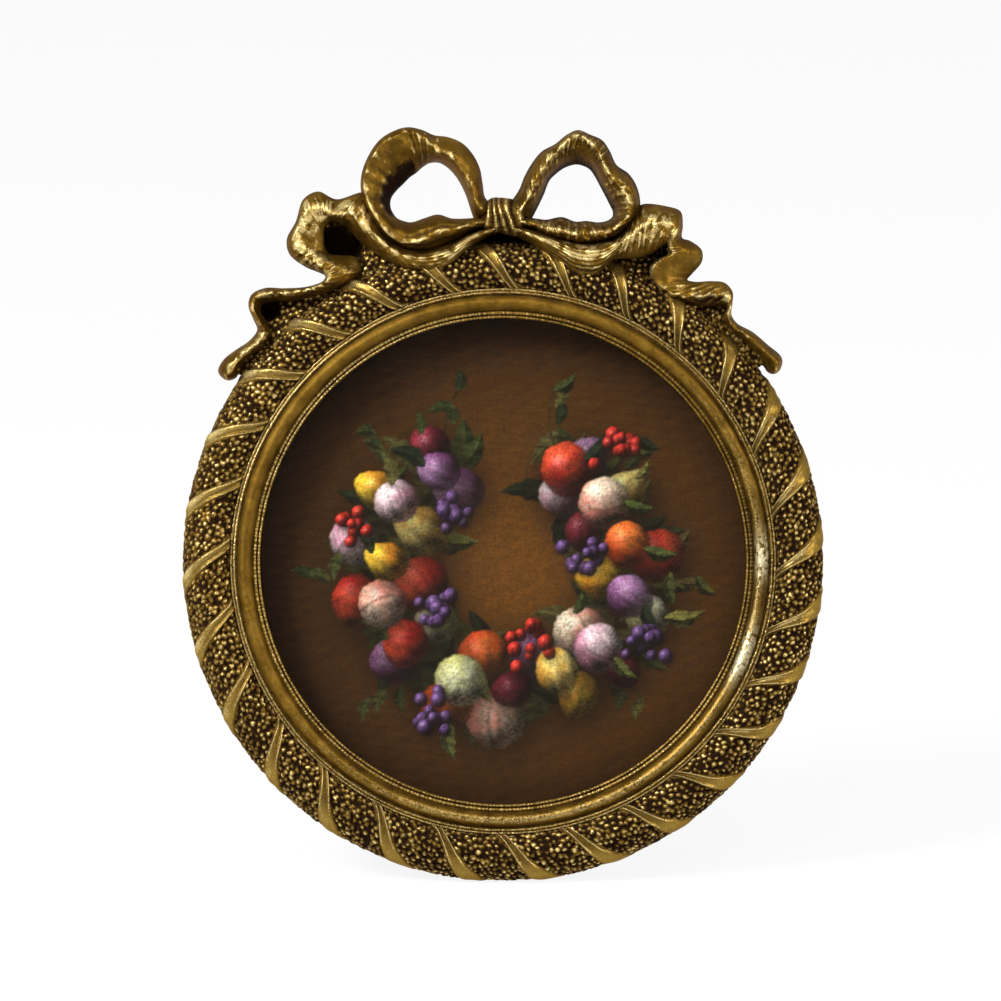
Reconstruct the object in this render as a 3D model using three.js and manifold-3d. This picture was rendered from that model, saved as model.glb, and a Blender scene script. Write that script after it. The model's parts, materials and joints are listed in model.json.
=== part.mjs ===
// A small round baroque picture frame with a ribbon bow, leaning back on its easel leg.
// Lengths are millimetres. Each piece is modelled in the frame's own view: x to the right, y up and
// z towards the viewer, with the ring's centre at the origin and its back plane at z = 0. A depth is
// a height in front of that plane. The finished group then stands up and leans back.
import * as THREE from "three";
import { mergeVertices } from "three/addons/utils/BufferGeometryUtils.js";
import Module from "manifold-3d";

const wasm = await Module();
wasm.setup();

// Clearances
const SEAT_GAP = 0.2;
const GLUE_GAP = 0.3;
const RUNNING_GAP = 0.12;

// Ring moulding: widths from the picture outwards
const SIGHT_RADIUS = 37.9;
const BEAD_WIDTH = 1.0;
const GROOVE_WIDTH = 0.3;
const TORUS_WIDTH = 2.4;
const FILLET_WIDTH = 0.7;
const BAND_WIDTH = 7.4;
const BAND_CREST_INSET = 4.4;

// Ring moulding: heights above the rabbet's shelf
const SIGHT_EDGE_HEIGHT = 3.0;
const BEAD_HEIGHT = 3.8;
const GROOVE_HEIGHT = 3.3;
const TORUS_HEIGHT = 4.9;
const FILLET_HEIGHT = 4.0;
const BAND_CREST_HEIGHT = 5.2;

// Ring moulding: its outer side, its back and the rabbet
const BAND_SIDE_DEPTH = 5.0;
const BAND_FOOT_DEPTH = 1.5;
const BACK_BEVEL = 0.8;
const RABBET_LEDGE = 3.5;
const BOARD_RECESS = 0.2;

// Diagonal straps on the rope band
const STRAP_COUNT = 28;
const STRAP_WIDTH = 3.0;
const STRAP_RELIEF = 0.6;
const STRAP_SWEEP = THREE.MathUtils.degToRad(11);
const STRAP_INNER_TAPER = 0.5;

// How the frame stands
const LEAN = THREE.MathUtils.degToRad(12);
const FOOT_FLAT_WIDTH = 14;

// Bow and crest
const KNOT_RISE = 3.9;
const KNOT_HALF_WIDTH = 2.8;
const KNOT_HALF_HEIGHT = 3.0;
const KNOT_FRONT_DEPTH = 12.4;
const KNOT_MIDDLE_DEPTH = 6.6;
const CREST_PLATE_BACK = 1.2;
const CREST_PLATE_FRONT = 3.4;
const CREST_PLATE_INSET = 0.25;
const RIBBON_EDGE_DEPTH = 5.4;
const RIBBON_RIM = 0.7;

// Picture pack behind the rabbet
const PACK_CLEARANCE = 0.3;
const GLASS_THICKNESS = 1.5;
const PRINT_THICKNESS = 0.3;
const CARD_THICKNESS = 0.8;
const BOARD_THICKNESS = 2.0;

// Turn buttons that hold the board in
const BUTTON_COUNT = 4;
const BUTTON_WIDTH = 5;
const BUTTON_REACH = 8;
const BUTTON_THICKNESS = 0.8;
const SCREW_SHANK_RADIUS = 1.1;
const SCREW_SHANK_LENGTH = 5;
const SCREW_HEAD_RADIUS = 2.1;
const SCREW_HEAD_HEIGHT = 1.3;
const SCREW_SLOT_WIDTH = 0.6;
const SCREW_SLOT_DEPTH = 0.6;

// Easel leg and its hinge
const HINGE_RISE = 10;
const LEG_OPEN = THREE.MathUtils.degToRad(27);
const LEG_THICKNESS = 2.5;
const LEG_TOP_WIDTH = 18;
const LEG_FOOT_WIDTH = 26;
const LEG_CORNER = 2.5;
const LEG_FOLD_GAP = 0.3;
const LEAF_THICKNESS = 0.8;
const PLATE_WIDTH = 20;
const PLATE_HEIGHT = 12;
const PLATE_CORNER = 2;
const LEAF_KNUCKLE_LENGTH = 8;
const LEAF_LENGTH = 13;
const HEEL_LENGTH = 6;
const PIN_RADIUS = 0.8;
const PIN_HEAD_RADIUS = 1.3;
const PIN_HEAD_LENGTH = 0.6;

// Rivets
const RIVET_RADIUS = 1.0;
const RIVET_HEAD_RADIUS = 1.9;
const RIVET_HEAD_HEIGHT = 0.8;
const HEAD_CROWN_SHARE = 0.7;
const PLATE_RIVET_EDGE = 3.8;
const LEG_RIVET_FIRST = 3;
const LEG_RIVET_PITCH = 5.5;

// Hanging ring
const HANGER_EDGE_DISTANCE = 5.1;
const HANGER_STRAP_WIDTH = 6.5;
const HANGER_STRAP_LENGTH = 8.5;
const HANGER_STRAP_THICKNESS = 0.7;
const HANGER_RIVET_DROP = 5.2;
const WIRE_RADIUS = 0.7;
const HANGER_WALL = 0.55;
const HANGER_RING_RADIUS = 5.2;
const HANGER_RING_SIDE = 4.5;

// Facets of the round pieces, and how far a cutting tool runs past what it cuts
const BAND_STEPS = 9;
const TORUS_STEPS = 5;
const BEAD_STEPS = 3;
const DISC_SIDES = 72;
const HOLE_SIDES = 16;
const WIRE_SIDES = 8;
const ARC_STEPS = 3;
const KNOT_SIDES = 18;
const KNOT_RINGS = 12;
const STEPS_PER_STATION = 2;
const OVERCUT = 1;

// The bow's ribbons. Each row is a station: the outer edge, the inner edge, how far the front ridge
// lies from the outer towards the inner edge, and the ridge's depth.
// Loop edges are x and y from the knot's middle.
const LEFT_LOOP = [
  [-0.8, 1.7, -1.2, 0.5, 0.5, 10.5],
  [-2.7, 2.8, -4.6, 0.8, 0.6, 11],
  [-3.2, 5.2, -5.8, 3.6, 0.62, 11.2],
  [-3.6, 7.4, -7.2, 6.1, 0.66, 11.2],
  [-4.6, 9.5, -8.6, 7.7, 0.68, 11],
  [-6.3, 11.4, -9.9, 8.5, 0.66, 10.8],
  [-8.6, 12.4, -11, 8.6, 0.6, 10.6],
  [-10.8, 12.7, -11.8, 8.4, 0.4, 10.5],
  [-12.7, 13.5, -12.7, 7.8, 0.22, 10.5],
  [-14.9, 13.9, -13.6, 7, 0.14, 10.5],
  [-17.1, 13.3, -14.6, 6.3, 0.12, 10.6],
  [-19.3, 11.9, -15.7, 5.2, 0.12, 10.8],
  [-21, 9.5, -16.8, 4.1, 0.12, 11],
  [-22.1, 6.6, -17.5, 3.1, 0.13, 11.2],
  [-22.2, 3.9, -17.7, 2, 0.15, 11.4],
  [-21.5, 1.6, -17.4, 0.9, 0.18, 11.6],
  [-20.2, -0.8, -16.6, -0.2, 0.2, 11.8],
  [-18, -3.3, -15.5, -0.7, 0.25, 12],
  [-15.4, -4.7, -14.3, -0.9, 0.35, 12],
  [-12.2, -4.7, -12.4, -0.3, 0.42, 12],
  [-9.4, -3.8, -10.2, 0.3, 0.45, 12],
  [-6.7, -2.8, -8, -0.3, 0.45, 11.8],
  [-4.2, -1.9, -5.5, -0.4, 0.5, 11.2],
  [-0.8, -1.4, -1.2, -0.2, 0.5, 10.5],
];
const RIGHT_LOOP = [
  [0.8, 1.7, 1.2, 0.5, 0.5, 10.5],
  [2.5, 4.2, 5.2, 1.6, 0.5, 11],
  [3.4, 6.4, 6.4, 3.6, 0.5, 11.2],
  [4.7, 8.6, 7.3, 5.8, 0.5, 11.2],
  [6.1, 10.2, 8.4, 6.9, 0.42, 11],
  [8.1, 11.3, 9.5, 7.7, 0.32, 10.8],
  [10, 12.8, 10.5, 8.1, 0.2, 10.6],
  [11.7, 13.5, 11.4, 8.3, 0.18, 10.6],
  [13.6, 12.8, 12.5, 8.1, 0.25, 10.7],
  [15.5, 11.9, 13.6, 7.5, 0.4, 10.8],
  [16.7, 10.2, 14.4, 6.4, 0.5, 11],
  [17.7, 8.1, 15.2, 4.9, 0.5, 11],
  [19.6, 6.7, 16, 3.4, 0.5, 11.2],
  [20.8, 4.9, 16.7, 2, 0.45, 11.4],
  [21.4, 2.7, 17.2, 0.9, 0.42, 11.6],
  [21.3, 0.6, 17.1, 0, 0.4, 11.8],
  [20.2, -1.3, 16.3, -0.6, 0.42, 12],
  [18.3, -2.7, 14.9, -0.9, 0.45, 12],
  [15.6, -3.4, 13, -0.7, 0.45, 12],
  [12.8, -3.3, 11.3, -0.8, 0.45, 12],
  [9.7, -2.8, 9.2, -0.1, 0.45, 12],
  [6.9, -2.3, 6.7, -0.5, 0.45, 11.6],
  [4.7, -1.7, 5, -0.3, 0.5, 11],
  [0.8, -1.4, 1.2, -0.2, 0.5, 10.5],
];
// Tail edges are lengths along the rim, clockwise from the ring's top, and the rise above it.
const LEFT_TAIL = [
  [-0.9, 2.7, -0.9, 1.4, 0.5, 10.4],
  [-5.7, 1.4, -5.2, -0.2, 0.5, 11.6],
  [-9.3, 0.5, -8.4, -2, 0.6, 12.6],
  [-13.4, 0.3, -12.5, -2.5, 0.6, 13],
  [-16.4, 2, -16.6, -1.5, 0.5, 13],
  [-18.2, 4.8, -19.1, 1.3, 0.45, 12.5],
  [-18.8, 8.4, -20.9, 4.5, 0.5, 11.6],
  [-19.5, 11.6, -22, 7.8, 0.6, 11],
  [-21.6, 12.3, -23.1, 9.4, 0.72, 10.8],
  [-23.2, 14.6, -23.9, 9.5, 0.62, 10.5],
  [-25.2, 14.6, -24.6, 9, 0.35, 10.2],
  [-27.4, 12.2, -25.1, 8.2, 0.2, 10],
  [-29.6, 10.6, -25.5, 7.4, 0.2, 10],
  [-30.4, 8.5, -25.8, 6.5, 0.3, 10.2],
  [-29.6, 5.6, -25.7, 5.2, 0.4, 10.5],
  [-27.9, 2.6, -23.6, 2.6, 0.12, 10.6],
  [-28.5, 2.1, -24, 0.5, 0.15, 10.6],
  [-30.9, 2.7, -27.8, -0.2, 0.3, 10.3],
  [-33.8, 4.7, -33.1, 1.8, 0.45, 10],
  [-35.8, 6.6, -36.4, 4.4, 0.45, 9.8],
  [-37.8, 7.3, -37.8, 5.1, 0.35, 9.6],
  [-39.2, 6.4, -38.5, 4.5, 0.35, 9.5],
  [-40.1, 4.3, -38.9, 2.8, 0.4, 9.4],
  [-40.8, 2.8, -39.7, 0.7, 0.5, 9.5],
  [-42.8, 2.6, -41.4, 0, 0.5, 9.5],
  [-45.1, 3.3, -44.1, 0.5, 0.5, 9.3],
  [-47.2, 3.9, -46.3, 0.9, 0.55, 9],
  [-49, 3.7, -48, 0.8, 0.55, 8.6],
  [-50, 2.5, -49, 0.7, 0.5, 8],
];
const RIGHT_TAIL = [
  [0.9, 3.1, 0.9, 1.3, 0.5, 10.4],
  [5.3, 1.2, 5.2, -0.6, 0.5, 11.6],
  [8.6, -0.1, 8.7, -2.1, 0.5, 12.4],
  [12, 0.3, 12, -3.6, 0.55, 13],
  [15.4, 1.6, 15.7, -3.1, 0.5, 13.2],
  [17.8, 3.5, 18.2, 0.7, 0.5, 12.6],
  [19, 5.6, 20.5, 2.1, 0.5, 12],
  [19.1, 8.7, 21.9, 4.1, 0.45, 11.6],
  [19.9, 10.1, 22.8, 5.8, 0.4, 11.4],
  [21.6, 11.1, 23.4, 6.6, 0.45, 11],
  [23.5, 11.3, 23.7, 6.9, 0.6, 10.8],
  [24.6, 9.5, 24, 6.7, 0.75, 10.6],
  [25.3, 7.8, 24.2, 6.2, 0.85, 10.6],
  [26.4, 8, 24.3, 5.5, 0.85, 10.6],
  [28.4, 7.7, 24.4, 4.3, 0.8, 10.6],
  [29.3, 6.2, 23.4, 2.7, 0.88, 10.6],
  [29.1, 3.9, 23.1, 1.3, 0.92, 10.5],
  [29, 2.6, 23.8, 0.1, 0.92, 10.4],
  [30.1, 3, 25.9, -1.1, 0.88, 10.2],
  [31.9, 4.5, 29.1, -1.4, 0.75, 10],
  [33.6, 5.6, 32.6, -0.3, 0.5, 9.6],
  [35.3, 5.3, 34.9, 1.9, 0.35, 9.5],
  [36.4, 3.9, 36, 2.7, 0.3, 9.4],
  [37.3, 2.6, 36.7, 1.5, 0.5, 9.2],
  [38.8, 2.2, 38.7, 0.6, 0.5, 9.2],
  [41.4, 3, 41.2, 0.7, 0.45, 9.2],
  [44.3, 3.5, 44.2, 1, 0.45, 9],
  [46.9, 4, 46.7, 1, 0.45, 8.6],
  [48.6, 3.1, 48.3, 0.8, 0.5, 8],
];
// The crest plate's top edge behind the loops and the knot, from the knot's middle
const CREST_PLATE_TOP = [
  [-15, -2.8],
  [-8, -1.4],
  [0, 1.4],
  [8, -1.4],
  [15, -2],
];
const CREST_PLATE_FIRST_STATION = 6;

// Sizes that follow from those above
const BEAD_OUTER = SIGHT_RADIUS + BEAD_WIDTH;
const TORUS_INNER = BEAD_OUTER + GROOVE_WIDTH;
const TORUS_OUTER = TORUS_INNER + TORUS_WIDTH;
const FILLET_INNER = TORUS_OUTER + GROOVE_WIDTH;
const BAND_INNER = FILLET_INNER + FILLET_WIDTH;
const OUTER_RADIUS = BAND_INNER + BAND_WIDTH;
const PACK_DEPTH = GLASS_THICKNESS + PRINT_THICKNESS + CARD_THICKNESS + BOARD_THICKNESS + 4 * SEAT_GAP;
const RABBET_DEPTH = PACK_DEPTH + BOARD_RECESS;
const SIGHT_EDGE_DEPTH = RABBET_DEPTH + SIGHT_EDGE_HEIGHT;
const BEAD_DEPTH = RABBET_DEPTH + BEAD_HEIGHT;
const GROOVE_DEPTH = RABBET_DEPTH + GROOVE_HEIGHT;
const TORUS_DEPTH = RABBET_DEPTH + TORUS_HEIGHT;
const FILLET_DEPTH = RABBET_DEPTH + FILLET_HEIGHT;
const BAND_CREST_DEPTH = RABBET_DEPTH + BAND_CREST_HEIGHT;
const BAND_CREST_RADIUS = OUTER_RADIUS - BAND_CREST_INSET;
const BAND_RISE = BAND_CREST_DEPTH - BAND_SIDE_DEPTH;
const BAND_FOOT_ANGLE = Math.asin((BAND_FOOT_DEPTH - BAND_SIDE_DEPTH) / BAND_RISE);
const BAND_INNER_ANGLE = Math.acos((BAND_INNER - BAND_CREST_RADIUS) / BAND_CREST_INSET);
const BACK_OUTER = BAND_CREST_RADIUS + BAND_CREST_INSET * Math.cos(BAND_FOOT_ANGLE) - BACK_BEVEL;
const RABBET_RADIUS = SIGHT_RADIUS + RABBET_LEDGE;
const PACK_RADIUS = RABBET_RADIUS - PACK_CLEARANCE;
const GLASS_FRONT = RABBET_DEPTH - SEAT_GAP;
const PRINT_FRONT = GLASS_FRONT - GLASS_THICKNESS - SEAT_GAP;
const CARD_FRONT = PRINT_FRONT - PRINT_THICKNESS - SEAT_GAP;
const BOARD_FRONT = CARD_FRONT - CARD_THICKNESS - SEAT_GAP;
const BOARD_BACK = BOARD_FRONT - BOARD_THICKNESS;
const RIVET_HOLE = RIVET_RADIUS + RUNNING_GAP;
const SCREW_HOLE = SCREW_SHANK_RADIUS + RUNNING_GAP;
const BUTTON_CIRCLE = (RABBET_RADIUS + BACK_OUTER) / 2;
const BUTTON_FRONT = -SEAT_GAP;
const BUTTON_BACK = BUTTON_FRONT - BUTTON_THICKNESS;
const SCREW_HEAD_FRONT = BUTTON_BACK - SEAT_GAP;
const RIBBON_BACK = CREST_PLATE_FRONT + SEAT_GAP;
const KNOT_HEIGHT = OUTER_RADIUS + KNOT_RISE;
const PLATE_FRONT = BOARD_BACK - SEAT_GAP;
const PLATE_BACK = PLATE_FRONT - LEAF_THICKNESS;
const KNUCKLE_RADIUS = (LEG_THICKNESS + LEAF_THICKNESS + SEAT_GAP + LEG_FOLD_GAP) / 2;
const PIN_HOLE = PIN_RADIUS + RUNNING_GAP;
const HINGE_DEPTH = PLATE_FRONT - KNUCKLE_RADIUS;
const HANGER_RISE = PACK_RADIUS - HANGER_EDGE_DISTANCE;
const HANGER_KNUCKLE = WIRE_RADIUS + RUNNING_GAP + HANGER_WALL;
const HANGER_DEPTH = PLATE_FRONT - HANGER_KNUCKLE;
const STRAP_BACK = PLATE_FRONT - HANGER_STRAP_THICKNESS;

// Solids

function flipInsideOut(geometry) {
  const order = geometry.index.array;
  for (let t = 0; t < order.length; t += 3) {
    [order[t + 1], order[t + 2]] = [order[t + 2], order[t + 1]];
  }
}

function signedVolume(geometry) {
  const corner = [new THREE.Vector3(), new THREE.Vector3(), new THREE.Vector3()];
  const order = geometry.index.array;
  let volume = 0;
  for (let t = 0; t < order.length; t += 3) {
    corner.forEach((point, k) => point.fromBufferAttribute(geometry.attributes.position, order[t + k]));
    volume += corner[0].dot(corner[1].cross(corner[2])) / 6;
  }
  return volume;
}

// A skin over sections with the same number of points, closed into a ring or capped at both ends
function loft(sections, closed = false) {
  const count = sections[0].length;
  const spans = closed ? sections.length : sections.length - 1;
  const triangles = [];
  for (let s = 0; s < spans; s += 1) {
    const here = s * count;
    const next = ((s + 1) % sections.length) * count;
    for (let p = 0; p < count; p += 1) {
      const q = (p + 1) % count;
      triangles.push(here + p, next + p, here + q);
      triangles.push(here + q, next + p, next + q);
    }
  }
  if (!closed) {
    const end = spans * count;
    for (let p = 1; p < count - 1; p += 1) {
      triangles.push(0, p, p + 1);
      triangles.push(end, end + p + 1, end + p);
    }
  }
  const geometry = new THREE.BufferGeometry();
  const points = sections.flat().flatMap((point) => point.toArray());
  geometry.setAttribute("position", new THREE.Float32BufferAttribute(points, 3));
  geometry.setIndex(triangles);
  if (signedVolume(geometry) < 0) {
    flipInsideOut(geometry);
  }
  return geometry;
}

function toSolid(geometry) {
  const bare = geometry.clone();
  bare.deleteAttribute("normal");
  bare.deleteAttribute("uv");
  const merged = mergeVertices(bare);
  const order = merged.index.array;
  const triangles = [];
  for (let t = 0; t < order.length; t += 3) {
    const [a, b, c] = order.slice(t, t + 3);
    if (a !== b && b !== c && c !== a) {
      triangles.push(a, b, c);
    }
  }
  const vertProperties = new Float32Array(merged.attributes.position.array);
  const triVerts = new Uint32Array(triangles);
  return new wasm.Manifold(new wasm.Mesh({ numProp: 3, vertProperties, triVerts }));
}

function toGeometry(solid) {
  const mesh = solid.getMesh();
  const geometry = new THREE.BufferGeometry();
  geometry.setAttribute("position", new THREE.Float32BufferAttribute(mesh.vertProperties, 3));
  geometry.setIndex(new THREE.Uint32BufferAttribute(mesh.triVerts, 1));
  return geometry;
}

function cut(geometry, ...tools) {
  let solid = toSolid(geometry);
  for (const tool of tools) {
    solid = solid.subtract(toSolid(tool));
  }
  return toGeometry(solid);
}

function join(...geometries) {
  const [first, ...others] = geometries.map(toSolid);
  return toGeometry(others.reduce((solid, other) => solid.add(other), first));
}

// A flat shape in the frame's plane, thickened from one depth to another
function slab(shape, back, front) {
  const settings = { depth: front - back, bevelEnabled: false, curveSegments: ARC_STEPS };
  return new THREE.ExtrudeGeometry(shape, settings).translate(0, 0, back);
}

function circle(radius, x = 0, y = 0, sides = HOLE_SIDES) {
  const points = Array.from({ length: sides }, (_, side) => {
    const angle = (2 * Math.PI * side) / sides;
    return new THREE.Vector2(x + radius * Math.cos(angle), y + radius * Math.sin(angle));
  });
  return new THREE.Shape(points);
}

function disc(radius, back, front) {
  return slab(circle(radius, 0, 0, DISC_SIDES), back, front);
}

function post(radius, x, y, back, front) {
  return slab(circle(radius, x, y), back, front);
}

// A rod along x through a point of the y-z plane
function rod(radius, from, to, y, z) {
  const geometry = new THREE.CylinderGeometry(radius, radius, to - from, HOLE_SIDES);
  return geometry.rotateZ(Math.PI / 2).translate((from + to) / 2, y, z);
}

function block(x0, x1, y0, y1, z0, z1) {
  const geometry = new THREE.BoxGeometry(x1 - x0, y1 - y0, z1 - z0);
  return geometry.translate((x0 + x1) / 2, (y0 + y1) / 2, (z0 + z1) / 2);
}

function roundedRectangle(x0, x1, y0, y1, radius) {
  const shape = new THREE.Shape();
  shape.absarc(x1 - radius, y1 - radius, radius, 0, Math.PI / 2);
  shape.absarc(x0 + radius, y1 - radius, radius, Math.PI / 2, Math.PI);
  shape.absarc(x0 + radius, y0 + radius, radius, Math.PI, 1.5 * Math.PI);
  shape.absarc(x1 - radius, y0 + radius, radius, 1.5 * Math.PI, 2 * Math.PI);
  return shape;
}

// A turned pin along z: a profile of radius and depth, from the back to the front
function turned(profile) {
  const points = profile.map(([radius, depth]) => new THREE.Vector2(radius, depth));
  return new THREE.LatheGeometry(points, HOLE_SIDES).rotateX(Math.PI / 2);
}

// The table in the frame's view

function tableDirection(tilt) {
  return new THREE.Vector3(0, -Math.cos(tilt), -Math.sin(tilt));
}

function bandPoint(angle, swell = 0) {
  const radius = BAND_CREST_RADIUS + (BAND_CREST_INSET + swell) * Math.cos(angle);
  const depth = BAND_SIDE_DEPTH + (BAND_RISE + swell) * Math.sin(angle);
  return new THREE.Vector2(radius, depth);
}

// The band's lowest point as the frame leans, and how far the table lies from the ring's centre
const LOWEST_BAND_ANGLE = Math.atan2(-BAND_RISE * Math.sin(LEAN), BAND_CREST_INSET * Math.cos(LEAN));
const LOWEST_BAND_POINT = bandPoint(LOWEST_BAND_ANGLE);
const FOOT_SAG = LOWEST_BAND_POINT.x - Math.sqrt(LOWEST_BAND_POINT.x ** 2 - (FOOT_FLAT_WIDTH / 2) ** 2);
const FOOT_POINT = new THREE.Vector3(0, FOOT_SAG - LOWEST_BAND_POINT.x, LOWEST_BAND_POINT.y);
const TABLE_DISTANCE = FOOT_POINT.dot(tableDirection(LEAN));

// All that lies below the table, for cutting a foot flat
function belowTable(tilt, distance) {
  const size = 4 * OUTER_RADIUS;
  const geometry = block(-size, size, -size, -distance, -size, size);
  return geometry.rotateX(tilt);
}

// Ring

// Each profile point: its radius and depth, how far the straps have swept there from the band's
// outer to its inner side, and the strap's relief along the band's surface normal
function plainPoint(radius, depth, sweep) {
  return { radius, depth, sweep, relief: new THREE.Vector2() };
}

function bandProfile() {
  return Array.from({ length: BAND_STEPS + 1 }, (_, step) => {
    const share = step / BAND_STEPS;
    const angle = THREE.MathUtils.lerp(BAND_FOOT_ANGLE, BAND_INNER_ANGLE, share);
    const point = bandPoint(angle);
    const fade = Math.min(1, step, (BAND_STEPS - step) * STRAP_INNER_TAPER);
    const relief = new THREE.Vector2(Math.cos(angle), Math.sin(angle)).multiplyScalar(STRAP_RELIEF * fade);
    return { radius: point.x, depth: point.y, sweep: share, relief };
  });
}

function archProfile(outer, inner, base, crest, end, steps) {
  const middle = (outer + inner) / 2;
  return Array.from({ length: steps + 1 }, (_, step) => {
    const angle = (Math.PI * step) / steps;
    const foot = step === steps ? end : base;
    const depth = foot + (crest - base) * Math.sin(angle);
    return plainPoint(middle + ((outer - inner) / 2) * Math.cos(angle), depth, 1);
  });
}

function ringProfile() {
  return [
    plainPoint(RABBET_RADIUS, 0, 1),
    plainPoint(BACK_OUTER, 0, 0),
    ...bandProfile(),
    plainPoint(BAND_INNER, FILLET_DEPTH, 1),
    plainPoint(FILLET_INNER, FILLET_DEPTH, 1),
    plainPoint(FILLET_INNER, GROOVE_DEPTH, 1),
    ...archProfile(TORUS_OUTER, TORUS_INNER, GROOVE_DEPTH, TORUS_DEPTH, GROOVE_DEPTH, TORUS_STEPS),
    ...archProfile(BEAD_OUTER, SIGHT_RADIUS, GROOVE_DEPTH, BEAD_DEPTH, SIGHT_EDGE_DEPTH, BEAD_STEPS),
    plainPoint(SIGHT_RADIUS, RABBET_DEPTH, 1),
    plainPoint(RABBET_RADIUS, RABBET_DEPTH, 1),
  ];
}

// One section through the ring, at a strap's edge or crest or halfway to the next strap
function ringSection(profile, turn, strapShare, lift) {
  return profile.map((point) => {
    const narrowing = THREE.MathUtils.lerp(1, STRAP_INNER_TAPER, point.sweep);
    const halfStrap = (STRAP_WIDTH / 2 / point.radius) * narrowing;
    const angle = turn + STRAP_SWEEP * (point.sweep - 0.5) + strapShare * halfStrap;
    const radius = point.radius + point.relief.x * lift;
    const depth = point.depth + point.relief.y * lift;
    return new THREE.Vector3(radius * Math.sin(angle), radius * Math.cos(angle), depth);
  });
}

function ringBlank() {
  const profile = ringProfile();
  const pitch = (2 * Math.PI) / STRAP_COUNT;
  const sections = [];
  for (let strap = 0; strap < STRAP_COUNT; strap += 1) {
    const turn = pitch * (strap + 0.5);
    sections.push(ringSection(profile, turn, -1, 0));
    sections.push(ringSection(profile, turn, 0, 1));
    sections.push(ringSection(profile, turn, 1, 0));
    sections.push(ringSection(profile, turn + pitch / 2, 0, 0));
  }
  return loft(sections, true);
}

function buttonAngle(index) {
  return ((index + 0.5) * 2 * Math.PI) / BUTTON_COUNT;
}

function buttonPivot(index) {
  const angle = buttonAngle(index);
  return new THREE.Vector3(BUTTON_CIRCLE * Math.cos(angle), BUTTON_CIRCLE * Math.sin(angle), 0);
}

function frameRing() {
  const holeFront = SCREW_HEAD_FRONT + SCREW_SHANK_LENGTH + RUNNING_GAP;
  const holes = Array.from({ length: BUTTON_COUNT }, (_, index) => {
    const { x, y } = buttonPivot(index);
    return post(SCREW_HOLE, x, y, -OVERCUT, holeFront);
  });
  return cut(ringBlank(), belowTable(LEAN, TABLE_DISTANCE), ...holes);
}

// The ring's outside without its straps, swollen by a clearance, for cutting what sits on it
function ringClearance(swell) {
  const profile = [new THREE.Vector2(SIGHT_RADIUS, 0), new THREE.Vector2(BACK_OUTER + swell, 0)];
  for (let step = 0; step <= BAND_STEPS; step += 1) {
    const angle = THREE.MathUtils.lerp(BAND_FOOT_ANGLE, BAND_INNER_ANGLE, step / BAND_STEPS);
    profile.push(bandPoint(angle, swell));
  }
  profile.push(new THREE.Vector2(SIGHT_RADIUS, TORUS_DEPTH + swell));
  const sections = Array.from({ length: DISC_SIDES }, (_, side) => {
    const angle = (2 * Math.PI * side) / DISC_SIDES;
    return profile.map((p) => new THREE.Vector3(p.x * Math.sin(angle), p.x * Math.cos(angle), p.y));
  });
  return loft(sections, true);
}

// Bow

function fromKnot(x, y) {
  return new THREE.Vector3(x, KNOT_HEIGHT + y, 0);
}

function fromRim(along, rise) {
  const angle = along / OUTER_RADIUS;
  const radius = OUTER_RADIUS + rise;
  return new THREE.Vector3(radius * Math.sin(angle), radius * Math.cos(angle), 0);
}

function ribbonSection(outer, inner, ridgeShare, ridgeDepth, swell) {
  const across = inner.clone().sub(outer);
  const width = across.length() + 2 * swell;
  across.normalize();
  const rim = Math.min(RIBBON_RIM / 2 / width, ridgeShare, 1 - ridgeShare);
  const start = outer.clone().addScaledVector(across, -swell);
  const corner = (share, depth) => start.clone().addScaledVector(across, share * width).setZ(depth);
  return [
    corner(0, RIBBON_BACK - swell),
    corner(0, RIBBON_EDGE_DEPTH + swell),
    corner(ridgeShare - rim, ridgeDepth + swell),
    corner(ridgeShare + rim, ridgeDepth + swell),
    corner(1, RIBBON_EDGE_DEPTH + swell),
    corner(1, RIBBON_BACK - swell),
  ];
}

// A ribbon in relief through its stations, swollen by a clearance where it serves as a cutting tool
function ribbon(stations, place, swell = 0) {
  const outer = new THREE.CatmullRomCurve3(stations.map((row) => place(row[0], row[1])));
  const inner = new THREE.CatmullRomCurve3(stations.map((row) => place(row[2], row[3])));
  const ridge = new THREE.CatmullRomCurve3(stations.map((row) => new THREE.Vector3(row[4], row[5], 0)));
  const steps = (stations.length - 1) * STEPS_PER_STATION;
  const sections = Array.from({ length: steps + 1 }, (_, step) => {
    const along = step / steps;
    const { x: share, y: depth } = ridge.getPoint(along);
    return ribbonSection(outer.getPoint(along), inner.getPoint(along), share, depth, swell);
  });
  return loft(sections);
}

function knotBall(swell) {
  const ball = new THREE.SphereGeometry(1, KNOT_SIDES, KNOT_RINGS);
  ball.scale(KNOT_HALF_WIDTH + swell, KNOT_HALF_HEIGHT + swell, KNOT_FRONT_DEPTH - KNOT_MIDDLE_DEPTH + swell);
  return ball.translate(0, KNOT_HEIGHT, KNOT_MIDDLE_DEPTH);
}

function bowKnot() {
  const reach = 2 * KNOT_HALF_HEIGHT;
  const behind = block(-reach, reach, KNOT_HEIGHT - reach, KNOT_HEIGHT + reach, -reach, RIBBON_BACK);
  return cut(knotBall(0), behind);
}

function bowLoop(stations) {
  return cut(ribbon(stations, fromKnot), knotBall(GLUE_GAP), ringClearance(STRAP_RELIEF + GLUE_GAP));
}

function ribbonTail(stations, loopStations) {
  const blank = ribbon(stations, fromRim);
  const loop = ribbon(loopStations, fromKnot, GLUE_GAP);
  return cut(blank, loop, knotBall(GLUE_GAP), ringClearance(STRAP_RELIEF + GLUE_GAP));
}

function platePoints(stations) {
  return stations.slice(CREST_PLATE_FIRST_STATION).map((row) => {
    return fromRim(row[0], row[1]).lerp(fromRim(row[2], row[3]), CREST_PLATE_INSET);
  });
}

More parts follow.
